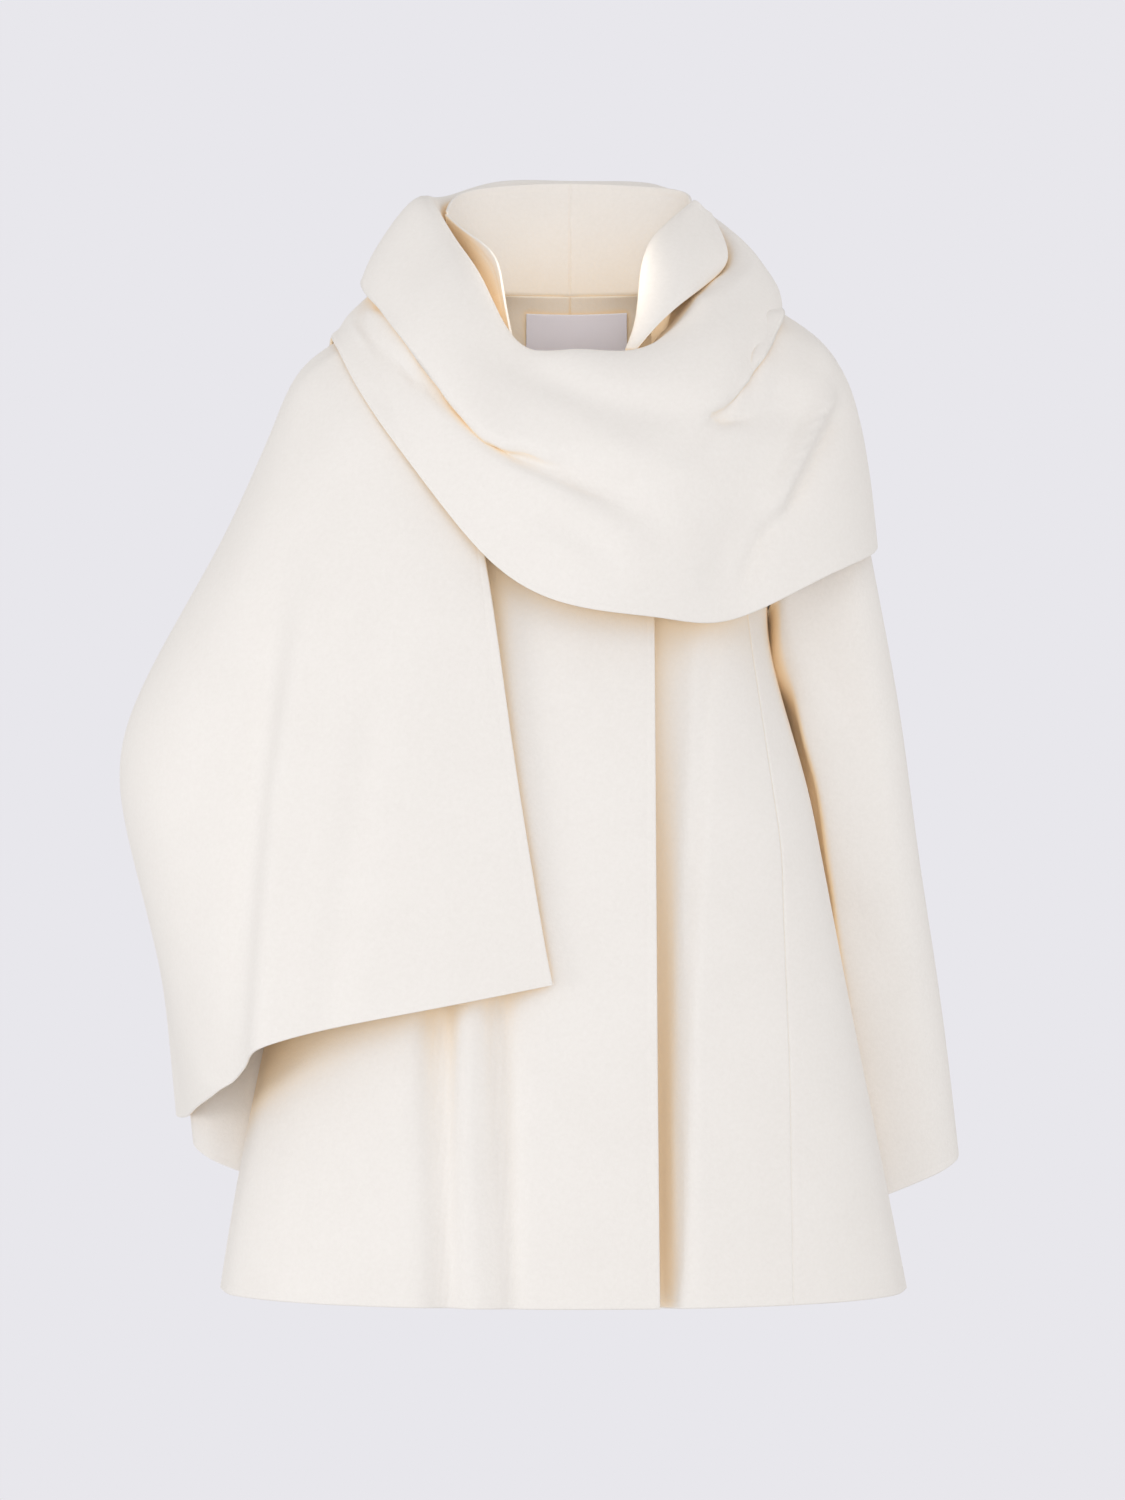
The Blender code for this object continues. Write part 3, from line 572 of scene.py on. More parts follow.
def sleeve(table, hole, sign, around, along):
    """A tube from the armhole through the rings of the table down to the cuff."""
    turn = np.radians(360 / around * np.arange(around))[:, None]
    rings = []
    for x, y, z, width, depth, tilt, drop in table:
        out = np.array([sign * np.cos(np.radians(tilt)), 0, np.sin(np.radians(tilt))])
        fore = np.array([0, -1, drop])
        middle = np.array([sign * x, y, z])
        across = width * flatter(np.cos(turn)) * out
        rings.append(middle + across + depth * flatter(np.sin(turn)) * fore)
    closed_hole = np.vstack([hole[-2:], hole, hole[:3]])
    spacing = np.concatenate([[0], np.cumsum(np.linalg.norm(np.diff(closed_hole, axis=0), axis=1))])
    spacing -= spacing[2]
    length = spacing[-3]
    first = spline_weights(spacing, length * np.arange(around) / around) @ closed_hole
    net = np.array([first + (sign * ARMHOLE_GAP, 0, 0)] + rings)
    knots = row_knots(net)
    return np.einsum("rk,kcj->rcj", spline_weights(knots, even(0, knots[-1], along)), net)


def polar(direction, pair):
    """The point at this direction round the neck, a distance out, and a height."""
    turn = np.radians(direction)
    return (pair[0] * np.sin(turn), -pair[0] * np.cos(turn), pair[1])


def cowl_rows():
    """The cowl's table as rows of points, each row one direction round the neck."""
    rows = []
    for direction, inner, rim, roll, fold, depth, shoulder, lower, hem in COWL:
        opened = max(0.0, 1 - depth / FULL_TUCK)
        tucks = []
        for step, (u, v) in enumerate(TUCK_REACH, start=1):
            share = opened * step / (len(TUCK_REACH) + 1)
            out = fold[0] + share * (shoulder[0] - fold[0]) + depth * u
            tucks.append((out, fold[1] + share * (shoulder[1] - fold[1]) + depth * v))
        pairs = [inner, rim, roll, fold, *tucks, shoulder, lower, hem]
        rows.append([polar(direction, pair) for pair in pairs])
    return np.array(rows)


def cowl_grid(around):
    """A closed ring: splines round the neck first, then down each profile."""
    rows = cowl_rows()
    directions = np.array([row[0] for row in COWL])
    wrapped = np.concatenate([directions[-4:] - 360, directions, directions[:4] + 360])
    net = np.concatenate([rows[-4:], rows, rows[:4]])
    turns = -90 + 360 / around * np.arange(around)
    ring = np.einsum("ak,kpj->apj", spline_weights(wrapped, turns), net)
    stops = [0.0]
    for k, steps in enumerate(COWL_STEPS):
        stops.extend(k + (np.arange(steps) + 1) / steps)
    down = spline_weights(np.arange(9), np.array(stops))
    return np.einsum("sp,apj->saj", down, ring)


def net_grid(net, rows, columns):
    """A smooth grid through a net of points, with that many steps each way."""
    net = np.array(net, float)
    down = row_knots(net)
    over = row_knots(net.transpose(1, 0, 2))
    down_at = even(0, down[-1], rows)
    over_at = even(0, over[-1], columns)
    return np.einsum(
        "ra,cb,abj->rcj", spline_weights(down, down_at), spline_weights(over, over_at), net
    )

# %% Make the coarse grid of each piece, as in the CAD model
front = body_net(FRONT_TOP, even(-90, 90, 2 * MIDDLE_COLUMN))
back = body_net(BACK_TOP, even(270, 90, 2 * MIDDLE_COLUMN))
front_rows = down_body(front, BODY_STEPS)
back_rows = down_body(back, BODY_STEPS)
levels = steady_rows(front, row_knots(front), front_rows)[:, MIDDLE_COLUMN, 2]
lapped, hidden, side_line = table_at(FRONT_LINES, levels)
middle_line = np.zeros_like(levels)
far_right, far_left = middle_line - FAR, middle_line + FAR

upper = body_panel(front, front_rows, far_right, lapped, COLUMNS["front_right"])
lower = body_panel(front, front_rows, hidden, side_line, COLUMNS["front_left"])
grids = {
    "front_right": with_folds(upper, False),
    "front_left": with_folds(lower, True),
    "side_left": body_panel(front, front_rows, side_line, far_left, COLUMNS["side_left"]),
    "back_right": body_panel(back, back_rows, far_right, middle_line, COLUMNS["back"]),
    "back_left": body_panel(back, back_rows, middle_line, far_left, COLUMNS["back"]),
}
body = [outward(grid) for grid in grids.values()]

for name, table, column, sign in (
    ("sleeve_left", SLEEVE_LEFT, 2 * MIDDLE_COLUMN, 1),
    ("sleeve_right", SLEEVE_RIGHT, 0, -1),
):
    tube = sleeve(table, armhole(front, back, column), sign, *SLEEVE_STEPS)
    room = np.where(np.arange(len(tube)) < FREE_RINGS, -REACH, LAYER)[:, None]
    grids[name] = cleared(tube, body, room, closed=True)

right_arm = outward(grids["sleeve_right"], closed=True)
left_arm = outward(grids["sleeve_left"], closed=True)
cape = net_grid(list(CAPE.values()), *CAPE_STEPS)
cape[0] = laid_on(cape[0], body, SEWN)
room = np.where(np.arange(len(cape)) < 1, SEWN, LAYER)[:, None]
cape = cleared(cape, [*body, right_arm], room)
grids["cape_panel"] = cape

directions = [row[0] for row in COLLAR]
foot = neck_edge(front, back, directions)
collar = np.array([[polar(row[0], pair) for pair in row[1:]] for row in COLLAR])
grids["collar_back"] = net_grid([foot, *collar.transpose(1, 0, 2)], *COLLAR_STEPS)
for name, table in (
    ("collar_front_left", COLLAR_FRONT_LEFT),
    ("collar_front_right", COLLAR_FRONT_RIGHT),
):
    foot = neck_edge(front, back, [row[0] for row in table])
    rest = np.array([row[1:] for row in table], float).transpose(1, 0, 2)
    if len(rest) > 2:
        rest = [(foot + rest[0]) / 2, *rest]
    grids[name] = net_grid([foot, *rest], 2 * len(rest) + 2, COLLAR_FRONT_STEPS)

cowl = cowl_grid(COWL_AROUND)
collars = [
    outward(grids["collar_back"]),
    outward(grids["collar_front_left"][:, :-TIP_COLUMNS], aside=EDGE_ASIDE),
]
room = np.interp(np.arange(len(cowl)), *np.transpose(COWL_ROOM))
under = [*body, outward(cape), *collars]
cowl[0] = laid_on(cowl[0], body, COWL_ROOM[0][1])
grids["hood_cowl"] = cleared(cowl, [*under, left_arm], room[:, None], closed=True)
label = label_grid(np.concatenate([grids["back_right"], grids["back_left"]], axis=1))
print("pieces:", len(grids) + 1)

# %% [markdown]
# ## From a coarse grid to cloth
#
# Real wool bends in smooth curves, has rounded edges where its two faces meet, and
# draws in a little at each seam. We read each coarse grid with splines at close
# steps, closer still beside its edges, and give every point a thickness that
# falls away at the rim like a quarter circle.

# %% Places along a side of a piece
FREE_EDGE = (0.0, 0.15, 0.5, 1.0, 1.6, 2.6, 4.2, 5.6, 6.6, 7.6, 9.5)
SEAM_EDGE = (0.0, 0.5, 1.1, 2.0, 3.2, 5.0)
FINE_STEP = 4.5
SEAM_REACH = 0.25  # a seam's two sides are drawn this far into each other
JOIN_STEPS = (-3.2, -2.0, -1.2, -0.6, 0.0, 0.6, 1.2, 2.0, 3.2)  # places beside a join
EDGE_ROUND = 1.5  # a free edge reaches its full wall this far from the rim
EDGE_PUFF = 0.22  # the turned-in edge is thicker by this share of the wall,
PUFF_AT, PUFF_WIDTH = 3.2, 2.2  # most of all here
EDGE_DENT = 0.16  # and thinner by this share where it is caught down,
EDGE_TURN = 6.6  # this far from the rim
SEAM_ROUND = 1.8  # a seam reaches its full wall this far from it,
SEAM_LEFT = 0.3  # and has this share of it at the seam
JOIN_DEPTH = 0.55  # a join draws in this share of the wall
LINE_WIDTH = 0.9  # half width of a line that thread draws in


def edge_steps(kind):
    """How far in from an edge its places lie. A seam's begin past it, in its neighbour."""
    return np.array(FREE_EDGE) if kind == "free" else np.array(SEAM_EDGE) - (SEAM + SEAM_REACH)


def edge_places(grid, kinds, step=FINE_STEP, join=None):
    """Places along the rows of a grid: close together at each edge and at a join, else even.

    The distance in millimetres is turned into grid steps by each end's mean step.
    """
    steps = np.linalg.norm(np.diff(grid, axis=0), axis=2).mean(axis=1)
    length = steps.sum()
    run = np.concatenate([[0], np.cumsum(steps)])
    first, last = kinds
    start, end = edge_steps(first), edge_steps(last)
    count = max(int((length - start[-1] - end[-1]) / step), 2)
    inner = np.linspace(start[-1], length - end[-1], count + 1)[1:-1]
    millimetres = np.concatenate([start, inner, length - end[::-1]])
    if join is not None:
        beside = join + np.array(JOIN_STEPS)
        apart = np.abs(millimetres[:, None] - beside).min(axis=1) > JOIN_STEPS[-1] / 3
        millimetres = np.sort(np.concatenate([millimetres[apart], beside]))
    places = np.interp(millimetres, run, np.arange(len(grid)))
    places = np.where(millimetres < 0, millimetres / steps[0], places)
    over = millimetres - length
    places = np.where(over > 0, len(grid) - 1 + over / steps[-1], places)
    return places, millimetres, length - millimetres


def read_at(grid, places):
    """The grid read by a spline at these places along its rows, run on straight past its ends."""
    inside = np.clip(places, 0, len(grid) - 1)
    held = np.einsum("rk,kcj->rcj", spline_weights(np.arange(len(grid)), inside), grid)
    over = (places - inside)[:, None, None]
    ends = np.where(over < 0, grid[1] - grid[0], grid[-1] - grid[-2])
    return held + over * ends


def round_wall(distance, kind):
    """How much of the wall stands at this distance from an edge, from 0 to 1 and a little over."""
    if kind == "closed":
        return np.ones_like(distance)
    if kind == "free":
        turn = np.clip(distance / EDGE_ROUND, 0, 1)
        puff = EDGE_PUFF * np.exp(-(((distance - PUFF_AT) / PUFF_WIDTH) ** 2))
        dent = EDGE_DENT * np.exp(-(((distance - EDGE_TURN) / LINE_WIDTH) ** 2))
        return np.sqrt(np.clip(1 - (1 - turn) ** 2, 0.0004, 1)) + puff - dent
    turn = np.clip(distance / SEAM_ROUND, 0, 1)
    return SEAM_LEFT + (1 - SEAM_LEFT) * np.sqrt(np.clip(1 - (1 - turn) ** 2, 0, 1))


print("places at a free edge:", len(FREE_EDGE))

# %% [markdown]
# ## Listed creases
#
# Thick wool has few folds. Each crease is a line on the front, back or side of the
# coat with a width and a depth of its own, sunk as a soft trough or raised as a
# ridge. A cloth simulation would add many small folds that this cloth never has.


# %% Sink a crease into a grid
def line_distance(flat, line):
    """Distance of points in a plane from a line of segments, and the share along it."""
    line = np.array(line, float)
    a, b = line[:-1], line[1:]
    along = b - a
    length = np.linalg.norm(along, axis=1)
    share = ((flat[..., None, :] - a) * along).sum(axis=-1) / length**2
    held = np.clip(share, 0, 1)
    away = np.linalg.norm(flat[..., None, :] - a - held[..., None] * along, axis=-1)
    near = away.argmin(axis=-1)
    start = np.concatenate([[0], np.cumsum(length)])
    run = start[near] + np.take_along_axis(held, near[..., None], axis=-1)[..., 0] * length[near]
    return np.take_along_axis(away, near[..., None], axis=-1)[..., 0], run / start[-1]


PLANES = {  # the two axes of the plane, then the axis and the way that its side faces
    "front": ((0, 2), 1, -1),
    "back": ((0, 2), 1, 1),
    "left": ((1, 2), 0, 1),
    "right": ((1, 2), 0, -1),
    "top": ((0, 1), 2, 1),
}


def creased(grid, normal, creases):
    """A grid with each crease sunk: its depth times a bell across and a swell along it."""
    sink = np.zeros(grid.shape[:2])
    for side, width, depth, first, last, line in creases:
        axes, facing, sign = PLANES[side]
        away, share = line_distance(grid[..., axes], line)
        ends = np.clip(share / first, 0, 1) * np.clip((1 - share) / last, 0, 1)
        seen = np.clip(normal[..., facing] * sign * 4, 0, 1)
        sink += depth * np.exp(-((away / width) ** 2)) * ends * ends * (3 - 2 * ends) * seen
    return grid - normal * sink[..., None]


# %% Creases of each piece: side, half width, depth, fade at each end, line
DIP_LINE = ((-190, -90), (-192, 0), (-190, 90))  # over the right shoulder, front to back
SHOULDER_DIP = ("top", 32.0, 6.0, 0.3, 0.3, DIP_LINE)  # the same in every layer there
CREASES = {
    "hood_cowl": (
        ("front", 15.0, 5.0, 0.4, 0.4,
         ((-99, -42), (-48, -63), (23, -96), (94, -108), (150, -116))),
        ("front", 13.0, 6.0, 0.2, 0.5, ((-20, -137), (14, -157), (61, -186), (98, -235))),
        ("front", 14.0, -3.5, 0.4, 0.4, ((-8, -118), (60, -142), (128, -171))),
        ("front", 6.5, -11.0, 0.2, 0.3,
         ((202, -70), (196, -90), (176, -130), (158, -165), (145, -198))),
        ("front", 9.0, 7.0, 0.2, 0.3, ((213, -86), (190, -130), (173, -165), (160, -198))),
        ("front", 7.0, 7.0, 0.3, 0.3, ((160, -166), (152, -190), (141, -216), (130, -250))),
        ("front", 22.0, 6.0, 0.4, 0.3, ((140, -170), (124, -204), (110, -256))),
        ("front", 5.0, 4.0, 0.3, 0.3, ((100, -104), (118, -108), (140, -105))),
        ("back", 15.0, 6.0, 0.4, 0.4, ((-150, -40), (-90, -88), (-10, -118), (70, -122))),
        ("back", 14.0, -4.0, 0.4, 0.4, ((-140, -70), (-80, -116), (0, -146), (80, -150))),
        ("top", 26.0, 6.0, 0.3, 0.3, DIP_LINE),
        ("front", 6.0, 5.0, 0.15, 0.6, ((-52, -128), (-22, -146), (22, -166), (62, -190))),
        ("front", 11.0, 4.0, 0.4, 0.5, ((-40, -168), (-22, -181), (22, -208), (52, -236))),
    ),
    "front_right": (
        SHOULDER_DIP,
        ("front", 12.0, 11.0, 0.4, 0.01, ((-106, -440), (-100, -555), (-94, -790))),
        ("front", 9.0, -3.5, 0.4, 0.01, ((-84, -440), (-79, -555), (-72, -790))),
        ("front", 11.0, 10.0, 0.4, 0.01, ((-60, -440), (-55, -555), (-46, -790))),
    ),
    "front_left": (
        ("front", 5.0, 2.5, 0.1, 0.1,
         ((108, -250), (99, -384), (92, -470), (87, -576), (80, -790))),
        ("front", 11.0, 3.5, 0.6, 0.01, ((66, -300), (67, -600), (68, -790))),
    ),
    "cape_panel": (
        SHOULDER_DIP,
        ("front", 16.0, 8.0, 0.4, 0.02, ((-206, -150), (-222, -213), (-245, -460), (-256, -620))),
        ("front", 14.0, -5.0, 0.4, 0.02, ((-180, -170), (-191, -226), (-222, -397), (-233, -600))),
        ("front", 16.0, 4.0, 0.5, 0.02, ((-136, -230), (-160, -400), (-186, -590))),
        ("back", 18.0, 8.0, 0.3, 0.02, ((-140, -130), (-172, -330), (-196, -640))),
        ("back", 16.0, -5.0, 0.3, 0.02, ((-104, -200), (-130, -400), (-146, -640))),
    ),
    "sleeve_left": (
        ("right", 26.0, -5.0, 0.3, 0.3, ((-6, -190), (9, -240), (32, -310))),
        ("front", 14.0, 2.5, 0.4, 0.6, ((170, -230), (215, -330), (250, -420))),
        ("front", 16.0, 2.0, 0.4, 0.6, ((200, -440), (240, -520), (262, -560))),
        ("back", 16.0, 2.5, 0.4, 0.6, ((180, -240), (225, -350), (245, -450))),
    ),
    "sleeve_right": (
        SHOULDER_DIP,
        ("front", 16.0, 2.5, 0.4, 0.6, ((-235, -420), (-270, -500), (-290, -560))),
    ),
    "back_left": (
        ("back", 16.0, 6.0, 0.7, 0.01, ((60, -330), (80, -560), (92, -790))),
        ("back", 14.0, -3.5, 0.7, 0.01, ((92, -360), (112, -560), (126, -790))),
    ),
    "back_right": (
        SHOULDER_DIP,
        ("back", 16.0, 5.5, 0.7, 0.01, ((-66, -300), (-84, -540), (-104, -790))),
        ("back", 14.0, -3.0, 0.7, 0.01, ((-96, -380), (-116, -580), (-136, -790))),
    ),
}
print("creases:", sum(map(len, CREASES.values())))

# %% [markdown]
# ## The shell
#
# Every piece becomes one closed mesh: an outer face, an inner face, and a rim
# where they meet. A Solidify modifier would leave square edges, and wool has none.


# %% Build one piece of cloth
def shell(name, grid, sign, kinds, closed=False, wall=WALL, creases=(), join=None):
    """A mesh of two faces: the grid moved half the wall out and half the wall in."""
    if closed:
        around = grid.shape[1]
        wrap = np.arange(-4, around + 5) % around
        wide = grid[:, wrap]
        steps = np.linalg.norm(np.diff(grid, axis=1), axis=2).mean()
        count = int(around * steps / FINE_STEP)
        columns = 4 + around * np.arange(count) / count
        over = read_at(wide.transpose(1, 0, 2), columns).transpose(1, 0, 2)
        side_wall = np.ones(count)
    else:
        columns, from_first, from_last = edge_places(
            grid.transpose(1, 0, 2), kinds[2:], join=join
        )
        over = read_at(grid.transpose(1, 0, 2), columns).transpose(1, 0, 2)
        side_wall = np.minimum(round_wall(from_first, kinds[2]), round_wall(from_last, kinds[3]))
        if join is not None:
            drawn = JOIN_DEPTH * np.exp(-(((from_first - join) / LINE_WIDTH) ** 2))
            side_wall = side_wall * (1 - drawn)
    rows, from_top, from_bottom = edge_places(over, kinds[:2])
    fine = read_at(over, rows)
    top_wall = np.minimum(round_wall(from_top, kinds[0]), round_wall(from_bottom, kinds[1]))
    normal = normals_of(fine, closed) * sign
    fine = creased(fine, normal, creases)
    normal = normals_of(fine, closed) * sign
    thick = wall * np.minimum(top_wall[:, None], side_wall[None])
    half = normal * thick[..., None] / 2
    return wall_mesh(name, fine + half, fine - half, closed, sign)


def normals_of(grid, closed):
    """Normals of a grid, read round the seam of a closed one."""
    if not closed:
        return surface_normals(grid)
    wide = np.concatenate([grid[:, -2:], grid, grid[:, :2]], axis=1)
    return surface_normals(wide)[:, 2:-2]


def wall_mesh(name, outer, inner, closed, sign):
    """One closed mesh from two grids of the same size, with faces that point outward."""
    rows, columns = outer.shape[:2]
    index = np.arange(rows * columns).reshape(rows, columns)
    if closed:
        index = np.hstack([index, index[:, :1]])
    faces = np.stack([index[:-1, :-1], index[1:, :-1], index[1:, 1:], index[:-1, 1:]], axis=-1)
    faces = faces.reshape(-1, 4)
    if sign < 0:
        faces = faces[:, ::-1]
    under = faces[:, ::-1] + rows * columns
    if closed:
        loops = [index[0][::-1], index[-1]]
    else:
        loops = [np.concatenate([index[:-1, 0], index[-1, :-1], index[:0:-1, -1], index[0, ::-1]])]
    rims = [under, faces]
    for loop in loops:
        if sign < 0:
            loop = loop[::-1]
        a, b = loop[:-1], loop[1:]
        rims.append(np.stack([b, a, a + rows * columns, b + rows * columns], axis=-1))
    quads = np.concatenate(rims)
    points = np.concatenate([outer.reshape(-1, 3), inner.reshape(-1, 3)]) * MM
    mesh = bpy.data.meshes.new(name)
    mesh.vertices.add(len(points))
    mesh.vertices.foreach_set("co", points.ravel())
    mesh.loops.add(quads.size)
    mesh.loops.foreach_set("vertex_index", quads.ravel())
    mesh.polygons.add(len(quads))
    mesh.polygons.foreach_set("loop_start", np.arange(0, quads.size, 4))
    mesh.update(calc_edges=True)
    mesh.validate()
    mesh.shade_smooth()
    obj = bpy.data.objects.new(name, mesh)
    bpy.context.scene.collection.objects.link(obj)
    return obj


# %% [markdown]
# ## Wool and satin
#
# The cloth is a double-faced wool with a brushed nap: no gloss, a faint sheen at
# grazing angles, fibres half a millimetre wide that lie down the coat, and a
# slight cloudiness of colour. The bump carries the fibres; the form carries the folds.
# Light that reaches a hollow has met wool on its way and is warmer and dimmer, so an
# Ambient Occlusion node paints a warmer, darker shade into the base colour where
# cloth closes in: close up in the sleeves, sooner under the lap. This is painted shade.


# %% Materials
FIBRES_IN_NAP = 0.45
CLOUD_IN_TONE = 0.6
TONE_RANGE = (0.6, 1.45)  # the darkest and the lightest tone of the wool
PAINTED_SHADE_FULL_AT = 0.30  # open share at which the painted shade is strongest


def new_material(name):
    """A material with nodes, its node tree, its shader and where a point of it lies."""
    material = bpy.data.materials.new(name)
    material.use_nodes = True
    tree = material.node_tree
    where = tree.nodes.new("ShaderNodeTexCoord").outputs["Object"]
    return material, tree, tree.nodes["Principled BSDF"], where


def fill(tree, node, **values):
    """Each named input is set to its value or, where that is a socket, linked to it."""
    for key, value in values.items():
        socket = node.inputs[key.replace("_", " ")]
        if isinstance(value, bpy.types.NodeSocket):
            tree.links.new(value, socket)
        else:
            socket.default_value = value
    return node


def add(tree, kind, **values):
    """The first output of a new node of this kind, with its inputs filled."""
    return fill(tree, tree.nodes.new(kind), **values).outputs[0]


def noise(tree, where, **values):
    """Cloudy values from 0 to 1: sums of smooth noise, each layer twice as fine."""
    node = fill(tree, tree.nodes.new("ShaderNodeTexNoise"), Vector=where, **values)
    return node.outputs["Fac"]


def plus(tree, factor, value, more):
    """The value times the factor, plus more."""
    node = tree.nodes.new("ShaderNodeMath")
    node.operation = "MULTIPLY_ADD"
    node.inputs[1].default_value = factor
    tree.links.new(value, node.inputs[0])
    tree.links.new(more, node.inputs[2])
    return node.outputs[0]


def ramp(tree, dark, light, share):
    """From the dark colour to the light one as the share goes from 0 to 1."""
    node = fill(tree, tree.nodes.new("ShaderNodeValToRGB"), Fac=share)
    for element, colour in zip(node.color_ramp.elements, (dark, light)):
        element.color = (*colour, 1.0)
    return node.outputs["Color"]


def brushed_wool(name, light, dark, painted_shade_colour, nap_scale, reach=0.22, clear=0.78):
    """Wool with a nap: dark to light by fibres, felt and cloud, with a painted shade in hollows.

    The nap runs down the cloth, nap_scale times as coarse as across. The painted
    shade, a warmer and darker colour, is mixed in where cloth within reach takes the
    open share well below clear.
    """
    material, tree, shader, where = new_material(name)
    lying = add(tree, "ShaderNodeMapping", Vector=where, Scale=(1.0, 1.0, nap_scale))
    fibres = noise(tree, lying, Scale=1500.0, Detail=3.0, Roughness=0.6)
    felt = noise(tree, where, Scale=330.0, Detail=2.0, Roughness=0.55)
    cloud = noise(tree, where, Scale=22.0, Detail=3.0, Roughness=0.5)
    nap = plus(tree, FIBRES_IN_NAP, fibres, felt)
    tone = plus(tree, CLOUD_IN_TONE, cloud, nap)
    low, high = TONE_RANGE
    share = add(tree, "ShaderNodeMapRange", Value=tone, From_Min=low, From_Max=high)
    node = tree.nodes.new("ShaderNodeAmbientOcclusion")
    node.samples = 8
    open_air = fill(tree, node, Distance=reach).outputs["AO"]
    node = tree.nodes.new("ShaderNodeMapRange")
    node.interpolation_type = "SMOOTHSTEP"
    fill(tree, node, Value=open_air, From_Min=PAINTED_SHADE_FULL_AT, From_Max=clear)
    # Painted shade: the warmer, darker colour is mixed into the base colour where the cloth closes
    # in
    hollow = tree.nodes.new("ShaderNodeMix")
    hollow.data_type = "RGBA"
    hollow.inputs[6].default_value = (*painted_shade_colour, 1.0)
    tree.links.new(node.outputs["Result"], hollow.inputs[0])
    tree.links.new(ramp(tree, dark, light, share), hollow.inputs[7])
    bump = add(tree, "ShaderNodeBump", Height=nap, Strength=0.35, Distance=0.0006)
    fill(
        tree, shader, Base_Color=hollow.outputs[2], Normal=bump, Roughness=0.92,
        Specular_IOR_Level=0.25, Sheen_Weight=0.18, Sheen_Roughness=0.45,
        Sheen_Tint=(1.0, 0.98, 0.95, 1.0),
    )
    return material


def woven_satin(name, light, dark):
    """Satin from two sets of threads: one wave across times one wave down."""
    material, tree, shader, where = new_material(name)
    weave = tree.nodes.new("ShaderNodeMath")
    weave.operation = "MULTIPLY"
    for place, axis, scale, distortion in ((0, "X", 560.0, 0.6), (1, "Z", 420.0, 0.4)):
        threads = tree.nodes.new("ShaderNodeTexWave")
        threads.bands_direction = axis
        fill(tree, threads, Vector=where, Scale=scale, Distortion=distortion, Detail=1.0)
        tree.links.new(threads.outputs["Fac"], weave.inputs[place])
    colour = ramp(tree, dark, light, weave.outputs[0])
    bump = add(
        tree, "ShaderNodeBump", Height=weave.outputs[0], Strength=0.25, Distance=0.0001
    )
    fill(tree, shader, Base_Color=colour, Normal=bump, Roughness=0.5, Sheen_Weight=0.1)
    return material


# Light and dark tones of the wool, the warmer and darker colour painted into hollows as shade, and
# the stretch of the nap
WOOL = ((0.895, 0.872, 0.85), (0.85, 0.825, 0.80), (0.97, 0.79, 0.56), 0.3)
wool_cloth = brushed_wool("brushed_wool", *WOOL)
# Copies of the wool that differ only in painted shade: the sleeves' copy reaches less far and paints
# less, the copy under the lap paints more
sleeve_wool_less_shade = brushed_wool("brushed_wool_sleeve_less_painted_shade", *WOOL, reach=0.02, clear=0.65)
lapped_wool_more_shade = brushed_wool("brushed_wool_under_the_lap_more_painted_shade", *WOOL, clear=0.9)
satin = woven_satin("woven_satin", (0.90, 0.91, 1.0), (0.81, 0.81, 0.94))
print("materials:", wool_cloth.name, satin.name)

# %% [markdown]
# ## Dress the coat
#
# Each piece replaces its CAD node, rides on the one body that the coat has, and takes
# its wool or satin.

# %% Make every piece
COLLAR_DROP = 1.6  # the collar's foot is drawn down on to the neck edge
WITHIN = (0, 20)  # a point inside the coat, seen from above
# Pieces that take a copy of the wool with less or more painted shade
WOOLS = {"front_left": lapped_wool_more_shade, "sleeve_left": sleeve_wool_less_shade, "sleeve_right": sleeve_wool_less_shade}
PIECES = {
    # name: kinds of its top, foot, first and last edge, its flat size, its flat area
    "front_right": (("seam", "free", "seam", "free"), (0.42, 0.83), 0.247),
    "front_left": (("seam", "free", "free", "seam"), (0.20, 0.78), 0.113),
    "side_left": (("seam", "free", "seam", "seam"), (0.13, 0.76), 0.072),
    "back_right": (("seam", "free", "seam", "seam"), (0.34, 0.83), 0.202),
    "back_left": (("seam", "free", "seam", "seam"), (0.34, 0.83), 0.197),
    "sleeve_left": (("seam", "free", "closed", "closed"), (0.42, 0.60), 0.180),
    "sleeve_right": (("seam", "free", "closed", "closed"), (0.42, 0.60), 0.186),
    "cape_panel": (("seam", "free", "free", "free"), (0.78, 0.62), 0.386),
    "collar_back": (("seam", "free", "seam", "seam"), (0.31, 0.10), 0.021),
    "collar_front_left": (("seam", "free", "free", "seam"), (0.17, 0.10), 0.0116),
    "collar_front_right": (("seam", "free", "seam", "seam"), (0.13, 0.08), 0.006),
    "hood_cowl": (("seam", "free", "closed", "closed"), (1.10, 0.37), 0.305),
}
collar = grids["collar_back"]
for name in ("collar_back", "collar_front_left", "collar_front_right"):
    grids[name][0, :, 2] -= COLLAR_DROP
run = row_knots(collar.transpose(1, 0, 2))
middle_seam = np.interp(0, -collar[4, :, 0], run)
made = {}
for name, (kinds, flat, area) in PIECES.items():
    grid = grids[name]
    closed = kinds[2] == "closed"
    normal = surface_normals(grid)
    middle = grid.reshape(-1, 3).mean(axis=0)
    out = ((grid - middle) * normal).sum()
    if name.startswith(("front", "side", "back", "cape", "collar")):
        out = (normal[..., :2] * (grid[..., :2] - WITHIN)).sum()
    sign = 1 if out > 0 else -1
    join = middle_seam if name == "collar_back" else None
    creases = CREASES.get(name, ())
    obj = shell(name + "_cloth", grid, sign, kinds, closed, creases=creases, join=join)
    obj.data.materials.append(WOOLS.get(name, wool_cloth))
    made[name] = obj
    print(name, "faces:", len(obj.data.polygons), "sign", sign)

# %% The label
label_sign = -1 if surface_normals(label)[..., 1].mean() > 0 else 1
made["neck_label"] = shell("neck_label_cloth", label, label_sign, ("free",) * 4, wall=LABEL_WALL)
made["neck_label"].data.materials.append(satin)
print("neck_label faces:", len(made["neck_label"].data.polygons))

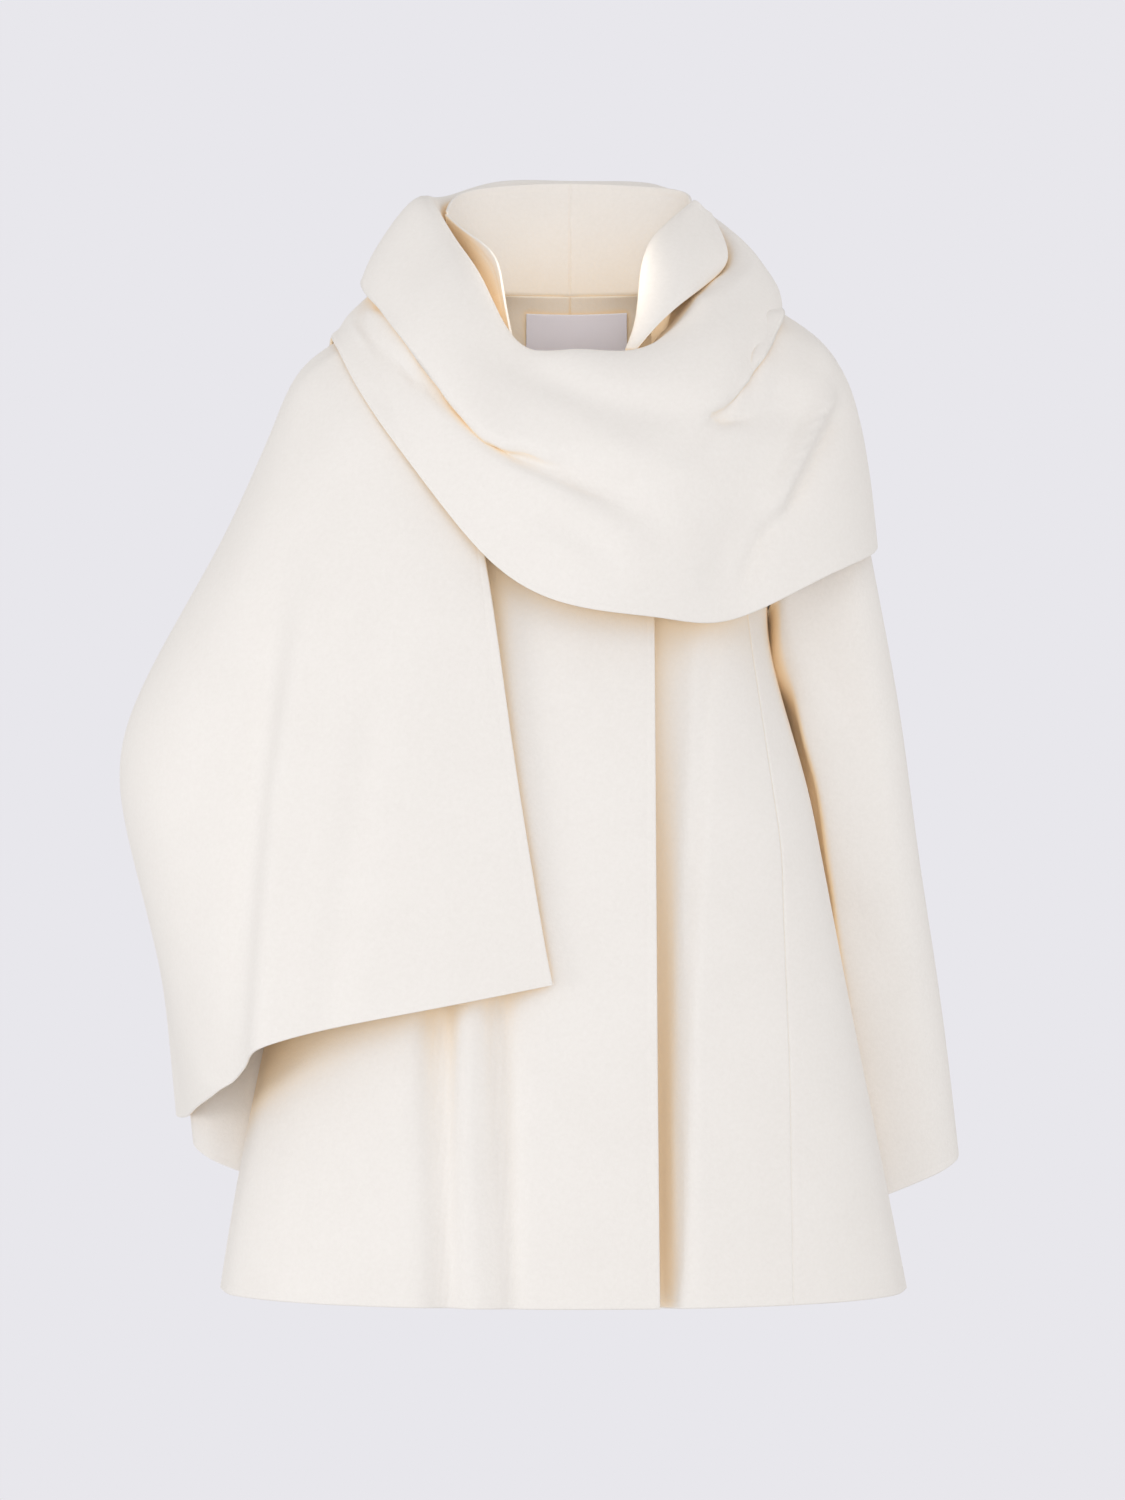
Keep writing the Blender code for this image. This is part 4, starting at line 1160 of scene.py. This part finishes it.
# %% Hang each piece on the coat's body and hide its CAD node
for name, obj in made.items():
    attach(obj, "root")
    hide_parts(name)
print("cloths with a flat cut:", len(made))

# %% [markdown]
# ## Stage, light and camera
#
# A high-key studio picture: a pale lilac-grey ground, and light from everywhere.
# The main lamps stand round the camera at about its height, so that most shadows
# hide behind the cloth that casts them. One lies low, one hangs above, one stands
# at each side, and a small warm one lights the neck from inside. The ground glows
# in its own colour, so that it has no edge against the backdrop.

# %% Stage
GROUND = (0.807, 0.799, 0.839)
AMBIENT = (0.655, 0.64, 0.63)


def seen_and_cast(tree, colour_socket):
    """GROUND where it is looked at, and AMBIENT as the light it casts."""
    path = tree.nodes.new("ShaderNodeLightPath")
    mix = tree.nodes.new("ShaderNodeMix")
    mix.data_type = "RGBA"
    mix.inputs[6].default_value = (*AMBIENT, 1)
    mix.inputs[7].default_value = (*GROUND, 1)
    tree.links.new(path.outputs["Is Camera Ray"], mix.inputs[0])
    tree.links.new(mix.outputs[2], colour_socket)


def glowing(name):
    """A black surface that shines in the stage's own colours."""
    material, tree, shader, _ = new_material(name)
    black = (0, 0, 0, 1)
    fill(tree, shader, Base_Color=black, Specular_IOR_Level=0.0, Emission_Strength=1.0)
    seen_and_cast(tree, shader.inputs["Emission Color"])
    return material


bpy.ops.mesh.primitive_plane_add(size=120, location=(0, 0, -1.25))
floor = bpy.context.object
floor.name = "floor"
floor.data.materials.append(glowing("pale_ground"))

world = bpy.context.scene.world or bpy.data.worlds.new("World")
bpy.context.scene.world = world
world.use_nodes = True
backdrop = world.node_tree.nodes["Background"]
backdrop.inputs["Strength"].default_value = 1.0
seen_and_cast(world.node_tree, backdrop.inputs["Color"])

# %% Lamps
def softbox(name, place, aim, size, power, colour=(1.0, 1.0, 1.0)):
    """A round lamp of this size in metres and power in watts, turned to its aim."""
    lamp = bpy.data.lights.new(name, "AREA")
    lamp.shape = "DISK"
    lamp.size = size
    lamp.energy = power
    lamp.color = colour
    obj = bpy.data.objects.new(name, lamp)
    obj.location = place
    bpy.context.scene.collection.objects.link(obj)
    heading = np.array(aim) - np.array(place)
    turn = np.arctan2(heading[0], -heading[1])
    drop = np.arctan2(np.hypot(heading[0], heading[1]), -heading[2])
    obj.rotation_euler = (drop, 0, turn + np.pi)
    return obj


softbox("key", (-1.1, -3.5, -0.25), (0, 0, -0.4), 1.2, 6.0)
softbox("low", (-1.3, -2.2, -1.05), (-0.2, 0, -0.7), 0.8, 3.0, (1.0, 0.98, 0.95))
softbox("fill", (1.2, -3.5, -0.3), (0, 0, -0.4), 1.8, 8.0)
softbox("front", (0, -4.3, -0.36), (0, 0, -0.36), 0.6, 17.0)
softbox("top", (0.2, -2.6, 1.3), (0, 0, -0.2), 1.4, 6.0, (1.0, 0.98, 0.96))
neck_lamp = softbox("neck", (0, -0.08, 0.02), (0, 0.08, -0.06), 0.08, 0.046, (1.0, 0.86, 0.68))
neck_lamp.visible_camera = False
softbox("side, wearer's right", (-3.2, -1.2, -0.8), (0, 0, -0.5), 1.4, 23.0)
softbox("side, wearer's left", (3.3, -1.0, -0.4), (0, 0, -0.5), 1.4, 11.0)

# %% Camera
SENSOR = 36.0
CAMERA_AWAY = 4.0
FRAME_HEIGHT = 1.17  # metres of the coat's own plane that the picture takes in
camera = bpy.data.objects.new("camera", bpy.data.cameras.new("camera"))
camera.location = (-0.00585, -CAMERA_AWAY, -0.3588)
camera.rotation_euler = (np.pi / 2, 0, 0)
camera.data.sensor_width = SENSOR
camera.data.lens = SENSOR * CAMERA_AWAY / FRAME_HEIGHT
camera.data.clip_end = 200.0
bpy.context.scene.collection.objects.link(camera)
bpy.context.scene.camera = camera
bpy.context.scene.view_settings.view_transform = "Standard"
print("lens in mm:", round(camera.data.lens, 1))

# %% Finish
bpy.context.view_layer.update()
